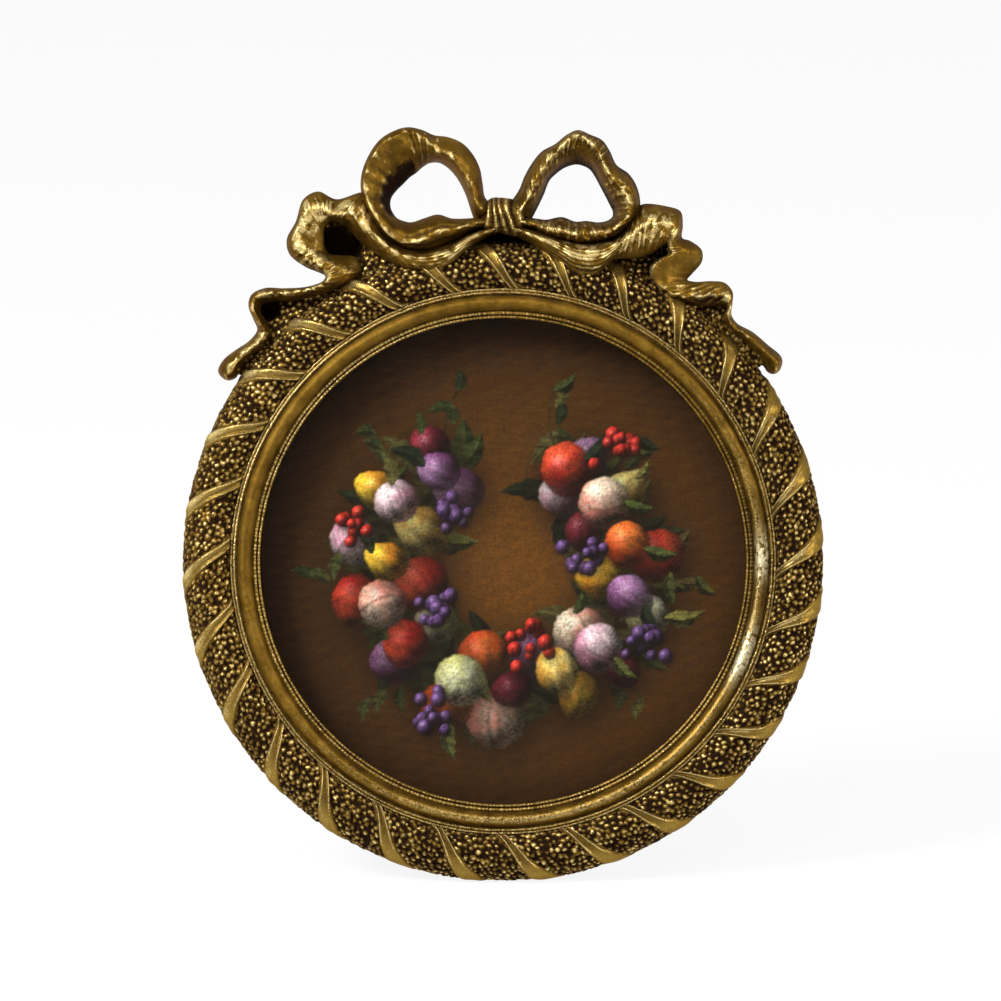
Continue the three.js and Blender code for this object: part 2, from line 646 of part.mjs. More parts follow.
function crestPlate() {
  const left = platePoints(LEFT_TAIL).reverse();
  const top = CREST_PLATE_TOP.map(([x, y]) => fromKnot(x, y));
  const right = platePoints(RIGHT_TAIL);
  const underRim = [fromRim(RIGHT_TAIL.at(-1)[0], -BAND_WIDTH), fromRim(LEFT_TAIL.at(-1)[0], -BAND_WIDTH)];
  const outline = [...left, ...top, ...right, ...underRim];
  const shape = new THREE.Shape(outline.map((point) => new THREE.Vector2(point.x, point.y)));
  const blank = slab(shape, CREST_PLATE_BACK, CREST_PLATE_FRONT);
  const inside = disc(BAND_CREST_RADIUS, 0, BAND_CREST_DEPTH);
  return cut(blank, ringClearance(STRAP_RELIEF + GLUE_GAP), inside);
}

// Picture pack

function glassPane() {
  return disc(PACK_RADIUS, GLASS_FRONT - GLASS_THICKNESS, GLASS_FRONT);
}

function artPrint() {
  return disc(PACK_RADIUS, PRINT_FRONT - PRINT_THICKNESS, PRINT_FRONT);
}

function fillerCard() {
  return disc(PACK_RADIUS, CARD_FRONT - CARD_THICKNESS, CARD_FRONT);
}

function plateRivetPlaces() {
  const spread = PLATE_WIDTH / 2 - PLATE_RIVET_EDGE;
  const rise = PLATE_HEIGHT - PLATE_RIVET_EDGE;
  return [-1, 1].map((side) => [side * spread, HINGE_RISE + rise]);
}

function hangerRivetPlace() {
  return [0, HANGER_RISE - HANGER_RIVET_DROP];
}

function backingBoard() {
  const places = [...plateRivetPlaces(), hangerRivetPlace()];
  const shape = circle(PACK_RADIUS, 0, 0, DISC_SIDES);
  shape.holes = places.map(([x, y]) => circle(RIVET_HOLE, x, y));
  return slab(shape, BOARD_BACK, BOARD_FRONT);
}

// Turn buttons and their screws, each about its own pivot with the button pointing along -x

function turnButton() {
  const radius = BUTTON_WIDTH / 2;
  const shape = new THREE.Shape();
  shape.absarc(0, 0, radius, -Math.PI / 2, Math.PI / 2);
  shape.absarc(-BUTTON_REACH, 0, radius, Math.PI / 2, 1.5 * Math.PI);
  shape.holes = [circle(SCREW_HOLE)];
  return slab(shape, BUTTON_BACK, BUTTON_FRONT);
}

function turnScrew() {
  const top = SCREW_HEAD_FRONT - SCREW_HEAD_HEIGHT;
  const screw = turned([
    [0, top],
    [SCREW_HEAD_RADIUS * HEAD_CROWN_SHARE, top],
    [SCREW_HEAD_RADIUS, top + SCREW_HEAD_HEIGHT / 2],
    [SCREW_HEAD_RADIUS, SCREW_HEAD_FRONT],
    [SCREW_SHANK_RADIUS, SCREW_HEAD_FRONT],
    [SCREW_SHANK_RADIUS, SCREW_HEAD_FRONT + SCREW_SHANK_LENGTH - SCREW_SHANK_RADIUS],
    [0, SCREW_HEAD_FRONT + SCREW_SHANK_LENGTH],
  ]);
  const slot = block(
    -2 * SCREW_HEAD_RADIUS,
    2 * SCREW_HEAD_RADIUS,
    -SCREW_SLOT_WIDTH / 2,
    SCREW_SLOT_WIDTH / 2,
    top - OVERCUT,
    top + SCREW_SLOT_DEPTH,
  );
  return cut(screw, slot);
}

function rivet(headFront, shankFront) {
  return turned([
    [0, headFront - RIVET_HEAD_HEIGHT],
    [RIVET_HEAD_RADIUS * HEAD_CROWN_SHARE, headFront - RIVET_HEAD_HEIGHT * HEAD_CROWN_SHARE],
    [RIVET_HEAD_RADIUS, headFront],
    [RIVET_RADIUS, headFront],
    [RIVET_RADIUS, shankFront],
    [0, shankFront],
  ]);
}

// Easel hinge and leg

// The fixed leaf: a plate on the board with a knuckle at each side, about the hinge axis
function easelHingePlate() {
  const half = PLATE_WIDTH / 2;
  const gapHalf = LEAF_KNUCKLE_LENGTH / 2 + RUNNING_GAP;
  const back = PLATE_BACK - HINGE_DEPTH;
  const front = PLATE_FRONT - HINGE_DEPTH;
  const shape = roundedRectangle(-half, half, -PLATE_CORNER, PLATE_HEIGHT, PLATE_CORNER);
  const [left, right] = plateRivetPlaces();
  shape.holes = [left, right].map(([x, y]) => circle(RIVET_HOLE, x, y - HINGE_RISE));
  const plate = slab(shape, back, front);
  const trim = block(-half - OVERCUT, half + OVERCUT, -2 * PLATE_CORNER, 0, back - OVERCUT, front + OVERCUT);
  const notchTop = KNUCKLE_RADIUS + RUNNING_GAP;
  const notch = block(-gapHalf, gapHalf, -notchTop, notchTop, -notchTop, notchTop);
  const knuckles = rod(KNUCKLE_RADIUS, -half, half, 0, 0);
  const bore = rod(PIN_HOLE, -half - OVERCUT, half + OVERCUT, 0, 0);
  return cut(join(cut(plate, trim), knuckles), notch, bore);
}

function easelHingePin() {
  const half = PLATE_WIDTH / 2 + RUNNING_GAP;
  const shaft = rod(PIN_RADIUS, -half, half, 0, 0);
  const leftHead = rod(PIN_HEAD_RADIUS, -half - PIN_HEAD_LENGTH, -half, 0, 0);
  const rightHead = rod(PIN_HEAD_RADIUS, half, half + PIN_HEAD_LENGTH, 0, 0);
  return join(shaft, leftHead, rightHead);
}

// The leg's pieces lie folded, about the hinge axis
const LEAF_BACK = -KNUCKLE_RADIUS;
const LEAF_FRONT = LEAF_BACK + LEAF_THICKNESS;
const LEG_BACK = LEAF_FRONT + SEAT_GAP;
const LEG_FRONT = LEG_BACK + LEG_THICKNESS;
const LEG_TOP = -KNUCKLE_RADIUS - RUNNING_GAP - LEG_FOLD_GAP;
const HINGE_POINT = new THREE.Vector3(0, HINGE_RISE, HINGE_DEPTH);
const LEG_TABLE_DISTANCE = TABLE_DISTANCE - HINGE_POINT.dot(tableDirection(LEAN));

function legRivetPlaces() {
  return [0, 1].map((index) => [0, LEG_TOP - LEG_RIVET_FIRST - index * LEG_RIVET_PITCH]);
}

function legRivetHoles() {
  return legRivetPlaces().map(([x, y]) => post(RIVET_HOLE, x, y, LEAF_BACK - OVERCUT, LEG_FRONT + OVERCUT));
}

// The moving leaf: one knuckle, the leaf on the leg's back, and the heel that stops on the plate
function easelLegLeaf() {
  const half = LEAF_KNUCKLE_LENGTH / 2 - RUNNING_GAP;
  const leaf = block(-half, half, -LEAF_LENGTH, 0, LEAF_BACK, LEAF_FRONT);
  const heelFront = PLATE_BACK - SEAT_GAP - HINGE_DEPTH;
  const heel = block(-half, half, 0, HEEL_LENGTH, heelFront - LEAF_THICKNESS, heelFront);
  heel.rotateX(-LEG_OPEN);
  const knuckle = rod(KNUCKLE_RADIUS, -half, half, 0, 0);
  const bore = rod(PIN_HOLE, -half - OVERCUT, half + OVERCUT, 0, 0);
  return cut(join(knuckle, leaf, heel), bore, ...legRivetHoles());
}

function easelLeg() {
  const bottom = -2 * LEG_TABLE_DISTANCE;
  const flare = (LEG_FOOT_WIDTH - LEG_TOP_WIDTH) / 2 / LEG_TABLE_DISTANCE;
  const topHalf = LEG_TOP_WIDTH / 2;
  const bottomHalf = topHalf - flare * bottom;
  const shape = new THREE.Shape();
  shape.moveTo(-bottomHalf, bottom);
  shape.lineTo(bottomHalf, bottom);
  shape.lineTo(topHalf, LEG_TOP - LEG_CORNER);
  shape.absarc(topHalf - LEG_CORNER, LEG_TOP - LEG_CORNER, LEG_CORNER, 0, Math.PI / 2);
  shape.absarc(LEG_CORNER - topHalf, LEG_TOP - LEG_CORNER, LEG_CORNER, Math.PI / 2, Math.PI);
  const blank = slab(shape, LEG_BACK, LEG_FRONT);
  return cut(blank, belowTable(LEAN - LEG_OPEN, LEG_TABLE_DISTANCE), ...legRivetHoles());
}

// Hanger

function hangerStrap() {
  const half = HANGER_STRAP_WIDTH / 2;
  const strap = block(-half, half, -HANGER_STRAP_LENGTH, 0, STRAP_BACK, PLATE_FRONT);
  const knuckle = rod(HANGER_KNUCKLE, -half, half, 0, HANGER_DEPTH);
  const bore = rod(WIRE_RADIUS + RUNNING_GAP, -half - OVERCUT, half + OVERCUT, 0, HANGER_DEPTH);
  const hole = post(RIVET_HOLE, 0, -HANGER_RIVET_DROP, STRAP_BACK - OVERCUT, PLATE_FRONT + OVERCUT);
  return cut(join(strap, knuckle), bore, hole);
}

// A wire bent to a D, hanging from its straight side at the origin
function hangerRing() {
  const corner = 2 * WIRE_RADIUS;
  const outline = new THREE.Shape();
  outline.absarc(HANGER_RING_RADIUS - corner, -corner, corner, 0, Math.PI / 2);
  outline.absarc(corner - HANGER_RING_RADIUS, -corner, corner, Math.PI / 2, Math.PI);
  outline.absarc(0, -HANGER_RING_SIDE, HANGER_RING_RADIUS, Math.PI, 2 * Math.PI);
  const points = outline.getPoints(ARC_STEPS);
  const sections = points.map((point, index) => {
    const before = points.at(index - 1);
    const after = points[(index + 1) % points.length];
    const along = after.clone().sub(before).normalize();
    return Array.from({ length: WIRE_SIDES }, (_, side) => {
      const angle = (2 * Math.PI * side) / WIRE_SIDES;
      const out = WIRE_RADIUS * Math.cos(angle);
      const up = WIRE_RADIUS * Math.sin(angle);
      return new THREE.Vector3(point.x + along.y * out, point.y - along.x * out, up);
    });
  });
  return loft(sections, true);
}

// Materials

function antiqueGold() {
  return new THREE.MeshStandardMaterial({ color: 0x8a6a2e, roughness: 0.42, metalness: 0.8 });
}

function clearGlass() {
  return new THREE.MeshStandardMaterial({ color: 0xdfe6e2, roughness: 0.05, metalness: 0 });
}

function printedPaper() {
  return new THREE.MeshStandardMaterial({ color: 0x4a3526, roughness: 0.6, metalness: 0 });
}

function greyCard() {
  return new THREE.MeshStandardMaterial({ color: 0xb8ab94, roughness: 0.9, metalness: 0 });
}

function flockedBoard() {
  return new THREE.MeshStandardMaterial({ color: 0x1d1a18, roughness: 1, metalness: 0 });
}

function brassedSteel() {
  return new THREE.MeshStandardMaterial({ color: 0xb0934f, roughness: 0.35, metalness: 1 });
}

function steel() {
  return new THREE.MeshStandardMaterial({ color: 0xa8a8a4, roughness: 0.35, metalness: 1 });
}

// Assembly

function piece(name, geometry, material) {
  const mesh = new THREE.Mesh(geometry, material);
  mesh.name = name;
  return mesh;
}

function crest() {
  const group = new THREE.Group();
  group.add(piece("crest_plate", crestPlate(), antiqueGold()));
  group.add(piece("bow_knot", bowKnot(), antiqueGold()));
  group.add(piece("bow_loop_left", bowLoop(LEFT_LOOP), antiqueGold()));
  group.add(piece("bow_loop_right", bowLoop(RIGHT_LOOP), antiqueGold()));
  group.add(piece("ribbon_tail_left", ribbonTail(LEFT_TAIL, LEFT_LOOP), antiqueGold()));
  group.add(piece("ribbon_tail_right", ribbonTail(RIGHT_TAIL, RIGHT_LOOP), antiqueGold()));
  return group;
}

function picturePack() {
  const group = new THREE.Group();
  group.add(piece("glass_pane", glassPane(), clearGlass()));
  group.add(piece("art_print", artPrint(), printedPaper()));
  group.add(piece("filler_card", fillerCard(), greyCard()));
  group.add(piece("backing_board", backingBoard(), flockedBoard()));
  return group;
}

function turnButtons() {
  const group = new THREE.Group();
  for (let index = 0; index < BUTTON_COUNT; index += 1) {
    const pivot = new THREE.Group();
    pivot.position.copy(buttonPivot(index));
    pivot.rotation.z = buttonAngle(index);
    pivot.add(piece(`turn_button_${index + 1}`, turnButton(), brassedSteel()));
    pivot.add(piece(`turn_screw_${index + 1}`, turnScrew(), steel()));
    group.add(pivot);
  }
  return group;
}

function easel() {
  const hinge = new THREE.Group();
  hinge.position.copy(HINGE_POINT);
  hinge.add(piece("easel_hinge_plate", easelHingePlate(), brassedSteel()));
  hinge.add(piece("easel_hinge_pin", easelHingePin(), steel()));
  const leg = new THREE.Group();
  leg.rotation.x = LEG_OPEN;
  leg.add(piece("easel_leg_leaf", easelLegLeaf(), brassedSteel()));
  leg.add(piece("easel_leg", easelLeg(), flockedBoard()));
  legRivetPlaces().forEach(([x, y], index) => {
    const body = rivet(LEAF_BACK - SEAT_GAP, LEG_FRONT - SEAT_GAP);
    const legRivet = piece(`leg_rivet_${index + 1}`, body, steel());
    legRivet.position.set(x, y, 0);
    leg.add(legRivet);
  });
  hinge.add(leg);
  return hinge;
}

function boardRivets() {
  const group = new THREE.Group();
  plateRivetPlaces().forEach(([x, y], index) => {
    const body = rivet(PLATE_BACK - SEAT_GAP, BOARD_FRONT);
    const plateRivet = piece(`plate_rivet_${index + 1}`, body, steel());
    plateRivet.position.set(x, y, 0);
    group.add(plateRivet);
  });
  const [x, y] = hangerRivetPlace();
  const hangerRivet = piece("hanger_rivet", rivet(STRAP_BACK - SEAT_GAP, BOARD_FRONT), steel());
  hangerRivet.position.set(x, y, 0);
  group.add(hangerRivet);
  return group;
}

function hanger() {
  const group = new THREE.Group();
  group.position.y = HANGER_RISE;
  group.add(piece("hanger_strap", hangerStrap(), brassedSteel()));
  const ring = piece("hanger_ring", hangerRing(), steel());
  ring.position.z = HANGER_DEPTH;
  ring.rotation.x = LEAN;
  group.add(ring);
  return group;
}

const frame = new THREE.Group();
frame.add(piece("frame_ring", frameRing(), antiqueGold()));
frame.add(crest());
frame.add(picturePack());
frame.add(turnButtons());
frame.add(easel());
frame.add(boardRivets());
frame.add(hanger());
frame.rotation.x = Math.PI / 2 - LEAN;
frame.position.copy(FOOT_POINT).applyEuler(frame.rotation).negate();

const part = new THREE.Group();
part.add(frame);

export default part;
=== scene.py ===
"""Looks of a small round baroque picture frame: a cast rope band with a ribbon bow in antique gold.

Shapes are worked out in the frame's own view, in millimetres: x to the right, y up, z towards the
viewer, with the ring's centre at the origin and its back plane at z = 0. A depth is a height in front
of that plane. Angles round the ring run clockwise from its top. to_row() then stands the shapes up,
leaning back, in metres.

Gold pieces carry layers from 0 to 1: the wash layer is the dark wash in the recesses together with
painted shade, the wear layer is where the gilding is rubbed bright together with painted highlights,
pale is a lighter gilding, flake is chipped and satin is less glossy.
"""

import json
import math
from itertools import product
from types import SimpleNamespace

import bpy
import numpy as np
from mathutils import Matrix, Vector, kdtree

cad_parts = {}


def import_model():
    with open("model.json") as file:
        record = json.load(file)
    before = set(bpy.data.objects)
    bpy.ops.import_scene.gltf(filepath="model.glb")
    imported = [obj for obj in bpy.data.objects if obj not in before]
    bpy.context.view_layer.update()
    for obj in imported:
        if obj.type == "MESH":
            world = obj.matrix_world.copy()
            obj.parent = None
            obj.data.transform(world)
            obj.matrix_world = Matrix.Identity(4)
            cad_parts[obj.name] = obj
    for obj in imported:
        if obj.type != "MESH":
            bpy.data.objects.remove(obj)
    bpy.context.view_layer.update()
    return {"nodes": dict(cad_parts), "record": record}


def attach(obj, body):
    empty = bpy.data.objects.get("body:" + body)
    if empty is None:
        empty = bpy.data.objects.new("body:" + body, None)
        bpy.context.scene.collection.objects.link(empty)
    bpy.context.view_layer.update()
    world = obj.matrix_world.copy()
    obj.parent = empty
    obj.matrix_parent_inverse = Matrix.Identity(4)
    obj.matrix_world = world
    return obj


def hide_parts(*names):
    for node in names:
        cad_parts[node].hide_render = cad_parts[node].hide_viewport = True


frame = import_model()
random = np.random.default_rng(28)

# How the frame stands: its lean, and the place of its foot that is set on the table
LEAN = math.radians(12)
FOOT = np.array([0.0, -49.34278, 3.43517])
# A millimetre in metres
MM = 0.001

# Ring moulding, from the picture outwards
SIGHT_RADIUS = 37.9
BEAD_PARTING = 38.45
BEAD_OUTER = 38.9
TORUS_INNER = 39.2
TORUS_OUTER = 41.6
FILLET_INNER = 41.9
BAND_INNER = 42.6
OUTER_RADIUS = 50.0
SIGHT_EDGE_DEPTH = 8.6
GROOVE_DEPTH = 8.9
BEAD_DEPTH = 9.4
TORUS_DEPTH = 10.5
FILLET_DEPTH = 9.6
GROOVE_FLOOR = GROOVE_DEPTH + 0.35
TORUS_FOOT = GROOVE_DEPTH - 0.15

# Back of the ring, and the picture in its rabbet
RABBET_RADIUS = 41.4
RABBET_DEPTH = 5.6
RABBET_ROUNDING = 0.2
BACK_MIDDLE = 45.0
BACK_OUTER = 48.31
PACK_RADIUS = 41.1
PRINT_FRONT = 3.7
PRINT_BACK = 3.4

# Rope band: an ellipse about its crest circle
CREST_RADIUS = 45.6
BAND_REACH = 4.4
BAND_SIDE_DEPTH = 5.0
BAND_RISE = 5.8
BAND_FOOT_DEPTH = 1.5
BAND_FOOT_ANGLE = math.asin((BAND_FOOT_DEPTH - BAND_SIDE_DEPTH) / BAND_RISE)
BAND_INNER_ANGLE = math.acos((BAND_INNER - CREST_RADIUS) / BAND_REACH)

# Straps and pebbles on the band
STRAP_COUNT = 28
STRAP_PITCH = 2 * math.pi / STRAP_COUNT
STRAP_SWEEP = math.radians(11)
STRAP_OUTER_HALF = 2.1
STRAP_INNER_HALF = 0.6
STRAP_DRIFT = math.radians(2.8)
STRAP_DRIFT_START = math.radians(110)
STRAP_LAG = math.radians(4)
STRAP_LAG_MIDDLE = math.radians(88)
STRAP_LAG_SPREAD = math.radians(38)
PEBBLE_SPACING = 0.82
PEBBLE_RADII = (0.37, 0.58)
PEBBLE_HEIGHTS = (0.6, 1.15)
PEBBLE_SINK = 0.32

# Hanging ring: a wire bent to a D
HANGER_HEIGHT = 36.0
HANGER_DEPTH = -1.3703
WIRE_RADIUS = 0.7
WIRE_CORNER = 1.4
WIRE_SIDES = 20
HANGER_HALF_WIDTH = 5.2
HANGER_SIDE = 4.5

# Bow: the knot's middle over the ring's centre, depths of flat backs, and the tails' rounded ends
KNOT_HEIGHT = 53.9
RIBBON_BACK = 1.3
WEB_BACK = 1.2
TIP_STATIONS = 0.8

# The bow's ribbons. Each row is a station: the outer edge, the inner edge, how far the front ridge
# lies from the outer towards the inner edge, and the ridge's depth.
# Loop edges are x and y from the knot's middle.
LEFT_LOOP = [
    [-0.8, 1.7, -4.5, -0.6, 0.5, 10.5],
    [-2.7, 2.8, -5.2, 1.5, 0.6, 11],
    [-3.2, 5.2, -5.9, 3.6, 0.62, 11.2],
    [-3.6, 7.4, -7.2, 6.1, 0.66, 11.2],
    [-4.6, 9.5, -8.6, 7.7, 0.68, 11],
    [-6.3, 11.4, -9.9, 8.5, 0.66, 10.8],
    [-8.6, 12.4, -11, 8.6, 0.6, 10.6],
    [-10.8, 12.7, -11.8, 8.4, 0.4, 10.5],
    [-12.7, 13.5, -12.7, 7.8, 0.22, 10.5],
    [-14.9, 13.9, -13.6, 7, 0.14, 10.5],
    [-17.1, 13.3, -14.6, 6.3, 0.12, 10.6],
    [-19.3, 11.9, -15.7, 5.2, 0.12, 10.8],
    [-21, 9.5, -16.8, 4.1, 0.12, 11],
    [-22.1, 6.6, -17.5, 3.1, 0.13, 11.2],
    [-22.2, 3.9, -17.7, 2, 0.15, 11.4],
    [-21.5, 1.6, -17.4, 0.9, 0.18, 11.6],
    [-20.2, -0.8, -16.6, -0.2, 0.2, 11.8],
    [-18, -3.5, -15.5, -0.7, 0.16, 12],
    [-15.2, -5.2, -14.3, -0.9, 0.24, 12],
    [-12.2, -5.7, -12.4, -0.3, 0.4, 11.9],
    [-9.2, -5.1, -10.2, 0.3, 0.5, 11.9],
    [-6.7, -3.8, -8, -0.3, 0.5, 11.8],
    [-4.3, -2.4, -5.6, -0.3, 0.5, 11.4],
    [-0.8, -1.4, -3.2, -0.1, 0.5, 10.5],
]
RIGHT_LOOP = [
    [0.8, 1.7, 4.3, -0.6, 0.5, 10.5],
    [2.5, 4.2, 5.4, 1.5, 0.5, 11],
    [3.4, 6.4, 6.4, 3.6, 0.5, 11.2],
    [4.7, 8.6, 7.3, 5.8, 0.5, 11.2],
    [6.1, 10.2, 8.4, 6.9, 0.42, 11],
    [8.1, 11.3, 9.5, 7.7, 0.32, 10.8],
    [10, 12.8, 10.5, 8.1, 0.2, 10.6],
    [11.7, 13.5, 11.4, 8.3, 0.18, 10.6],
    [13.6, 12.8, 12.5, 8.1, 0.25, 10.7],
    [15.5, 11.9, 13.6, 7.5, 0.4, 10.8],
    [16.7, 10.2, 14.4, 6.4, 0.5, 11],
    [17.7, 8.1, 15.2, 4.9, 0.5, 11],
    [19.6, 6.7, 16, 3.4, 0.5, 11.2],
    [20.8, 4.9, 16.7, 2, 0.45, 11.4],
    [21.4, 2.7, 17.2, 0.9, 0.42, 11.6],
    [21.3, 0.6, 17.1, 0, 0.4, 11.8],
    [20.2, -1.3, 16.3, -0.6, 0.42, 12],
    [18, -3.3, 14.9, -0.9, 0.4, 12],
    [15.2, -4.4, 13, -0.7, 0.45, 12],
    [12.4, -4.7, 11.3, -0.8, 0.45, 12.2],
    [9.5, -4.3, 9.2, -0.1, 0.45, 12.2],
    [6.7, -3.4, 6.7, -0.5, 0.45, 11.8],
    [4.5, -2.3, 5, -0.3, 0.5, 11.2],
    [0.8, -1.4, 3, -0.1, 0.5, 10.5],
]
# Tail edges are lengths along the rim, clockwise from the ring's top, and the rise above it.
LEFT_TAIL = [
    [-0.9, 2.7, -0.9, 1.4, 0.5, 10.4],
    [-4.9, 1.9, -5.2, -0.6, 0.5, 11.4],
    [-8.2, 0.9, -8.5, -2.8, 0.5, 12],
    [-12.2, 0.6, -12.2, -3.2, 0.5, 12],
    [-15.6, 2, -16.6, -1.4, 0.5, 11.8],
    [-17, 4.7, -19.1, 1.3, 0.5, 11.8],
    [-17.6, 8.6, -20.9, 4.5, 0.55, 11.4],
    [-17.9, 11.5, -22, 7.8, 0.62, 11],
    [-21.6, 12.3, -23.1, 9.4, 0.72, 10.8],
    [-23.2, 14.6, -23.9, 9.5, 0.62, 10.5],
    [-25.2, 14.6, -24.6, 9, 0.35, 10.2],
    [-27.4, 12.2, -25.1, 8.2, 0.2, 10],
    [-29.6, 10.6, -25.5, 7.4, 0.2, 10],
    [-30.4, 8.5, -25.8, 6.5, 0.3, 10.2],
    [-29.6, 5.6, -25.7, 5.2, 0.4, 10.5],
    [-27.9, 2.6, -22.4, 2.6, 0.12, 10.6],
    [-28.5, 2.1, -22.8, 0.4, 0.15, 10.6],
    [-30.9, 2.7, -27.8, -0.2, 0.3, 10.3],
    [-33.8, 4.7, -33.1, 1.8, 0.45, 10],
    [-35.8, 6.6, -36.4, 4.4, 0.45, 9.8],
    [-37.8, 7.3, -37.8, 5.1, 0.35, 9.6],
    [-39.2, 6.4, -38.5, 4.5, 0.35, 9.5],
    [-40.1, 4.3, -38.9, 2.8, 0.4, 9.4],
    [-40.8, 2.8, -39.7, 0.7, 0.5, 9.5],
    [-42.8, 2.6, -41.4, 0, 0.5, 9.5],
    [-45.1, 3.3, -44.1, 0.5, 0.5, 9.3],
    [-47.2, 3.9, -46.3, 0.9, 0.55, 9],
    [-49, 3.7, -48, 0.8, 0.55, 8.6],
    [-50, 2.5, -49, 0.7, 0.5, 8],
]
RIGHT_TAIL = [
    [0.9, 3.1, 0.9, 1.3, 0.5, 10.4],
    [5.3, 2.4, 5.2, -0.6, 0.5, 11.6],
    [8.6, 1.9, 8.7, -2.1, 0.5, 12.2],
    [12, 2.0, 12, -3.6, 0.5, 12.8],
    [15.4, 3.4, 15.5, -3.1, 0.5, 12.6],
    [17.2, 4.6, 17.6, 0.2, 0.5, 12.4],
    [17.6, 6.2, 19, 0.9, 0.45, 12],
    [18, 8.2, 20.6, 1.6, 0.42, 11.7],
    [18.5, 9.8, 21.9, 2.7, 0.42, 11.5],
    [21.6, 11.1, 22.8, 3.9, 0.4, 11.3],
    [23.5, 11.3, 23.3, 5, 0.42, 11],
    [24.6, 9.5, 23.7, 5.6, 0.6, 10.8],
    [25.3, 7.8, 24, 5.5, 0.8, 10.8],
    [26.4, 8, 24.1, 5, 0.85, 10.8],
    [28.4, 7.7, 24.4, 4.3, 0.8, 10.6],
    [29.3, 6.2, 23.4, 2.7, 0.88, 10.6],
    [29.1, 3.9, 23.1, 1.3, 0.92, 10.5],
    [29, 2.6, 23.8, 0.1, 0.92, 10.4],
    [30.1, 3, 25.9, -1.1, 0.88, 10.2],
    [31.9, 4.5, 29.1, -1.4, 0.75, 10],
    [33.6, 5.6, 32.6, -0.3, 0.5, 9.6],
    [35.3, 5.3, 34.9, 1.9, 0.35, 9.5],
    [36.4, 3.9, 36, 2.7, 0.3, 9.4],
    [37.3, 2.6, 36.7, 1.5, 0.5, 9.2],
    [38.8, 2.2, 38.7, 0.6, 0.5, 9.2],
    [41.4, 3, 41.2, 0.7, 0.45, 9.2],
    [44.3, 3.5, 44.2, 1, 0.45, 9],
    [46.9, 4, 46.7, 1, 0.45, 8.6],
    [48.6, 3.1, 48.3, 0.8, 0.5, 8],
]
CREST_PLATE_TOP = [[-15, -2.8], [-8, -1.4], [0, 1.4], [8, -1.4], [15, -2]]
# Deep places in the web behind the folds, sunk and painted dark as shade, as x, y and radius
POCKETS = [
    [-26.2, 50.2, 2.9],
    [-24, 49, 2.4],
    [-36.8, 39.6, 2.2],
    [-2.6, 50.9, 1.7],
    [0, 50.6, 1.6],
    [2.8, 50.7, 1.7],
]
CREST_PLATE_FIRST_STATION = 6
CREST_PLATE_INSET = 0.3


# Helpers


def to_row(points):
    """Points of the frame's view where the frame stands, in metres."""
    p = np.asarray(points, float) - FOOT
    c, s = math.cos(LEAN), math.sin(LEAN)
    return np.column_stack((p[:, 0], p[:, 1] * s - p[:, 2] * c, p[:, 1] * c + p[:, 2] * s)) * MM


def smoothstep(low, high, x):
    """0 at the low end, 1 at the high end and a smooth rise between."""
    t = np.clip((np.asarray(x, float) - low) / (high - low), 0, 1)
    return t * t * (3 - 2 * t)


def lerp(a, b, t):
    return a + (b - a) * t


def near(x, middle, spread):
    """1 at the middle, fading over the spread."""
    return np.exp(-(((x - middle) / spread) ** 2))


def window(x, start, end, soft):
    """1 from start to end, fading softly at both."""
    return smoothstep(start - soft, start + soft, x) * (1 - smoothstep(end - soft, end + soft, x))


def by_pairs(x, pairs):
    """Values at x on straight lines through pairs of x and value."""
    return np.interp(x, *np.array(pairs).T)


def full_turn(count):
    """Angles evenly round a circle."""
    return np.linspace(0, 2 * math.pi, count, endpoint=False)


def plan_grid(xs, ys):
    """Points of a flat grid, row by row."""
    return np.stack(np.meshgrid(xs, ys), axis=-1).reshape(-1, 2)


def at_depth(plan, depth):
    return np.column_stack((plan, np.broadcast_to(depth, len(plan))))


def wander(points, size, seed):
    """Smooth noise from about -1 to 1 whose features are about that many millimetres across."""
    waves, peak = 7, 2.6
    local = np.random.default_rng(seed)
    total = np.zeros(len(points))
    for _ in range(waves):
        direction = local.normal(size=3)
        direction /= np.linalg.norm(direction)
        frequency = 2 * math.pi / size * local.uniform(0.6, 1.5)
        total += np.sin(points @ direction * frequency + local.uniform(0, 2 * math.pi))
    return total / peak


def cell_corners(grid):
    """The four corners of every cell of a grid, in order round the cell."""
    return grid[:-1, :-1], grid[:-1, 1:], grid[1:, 1:], grid[1:, :-1]


def grid_faces(rows, columns, close_rows=False, close_columns=False):
    """Quads over a grid of points numbered row by row."""
    index = np.arange(rows * columns).reshape(rows, columns)
    if close_rows:
        index = np.vstack((index, index[:1]))
    if close_columns:
        index = np.hstack((index, index[:, :1]))
    return np.stack([corner.ravel() for corner in cell_corners(index)], axis=1)


def kept_faces(keep):
    """Quads over those cells of a grid whose four corners are kept."""
    full = np.logical_and.reduce(cell_corners(keep))
    index = np.arange(keep.size).reshape(keep.shape)
    return np.stack([corner[full] for corner in cell_corners(index)], axis=1)


def only_used(faces, size):
    """Faces renumbered over the points that they use, and the numbers of those points."""
    used = np.unique(faces)
    renumber = np.full(size, -1)
    renumber[used] = np.arange(len(used))
    return renumber[faces], used


def add_layer(mesh, key, values):
    """A layer of shares or of colours over a mesh's points."""
    if np.ndim(values) == 1:
        layer = mesh.attributes.new(key, "FLOAT", "POINT")
        layer.data.foreach_set("value", np.clip(values, 0, 1).astype(np.float32))
    else:
        layer = mesh.attributes.new(key, "FLOAT_COLOR", "POINT")
        layer.data.foreach_set("color", np.asarray(values, np.float32).ravel())


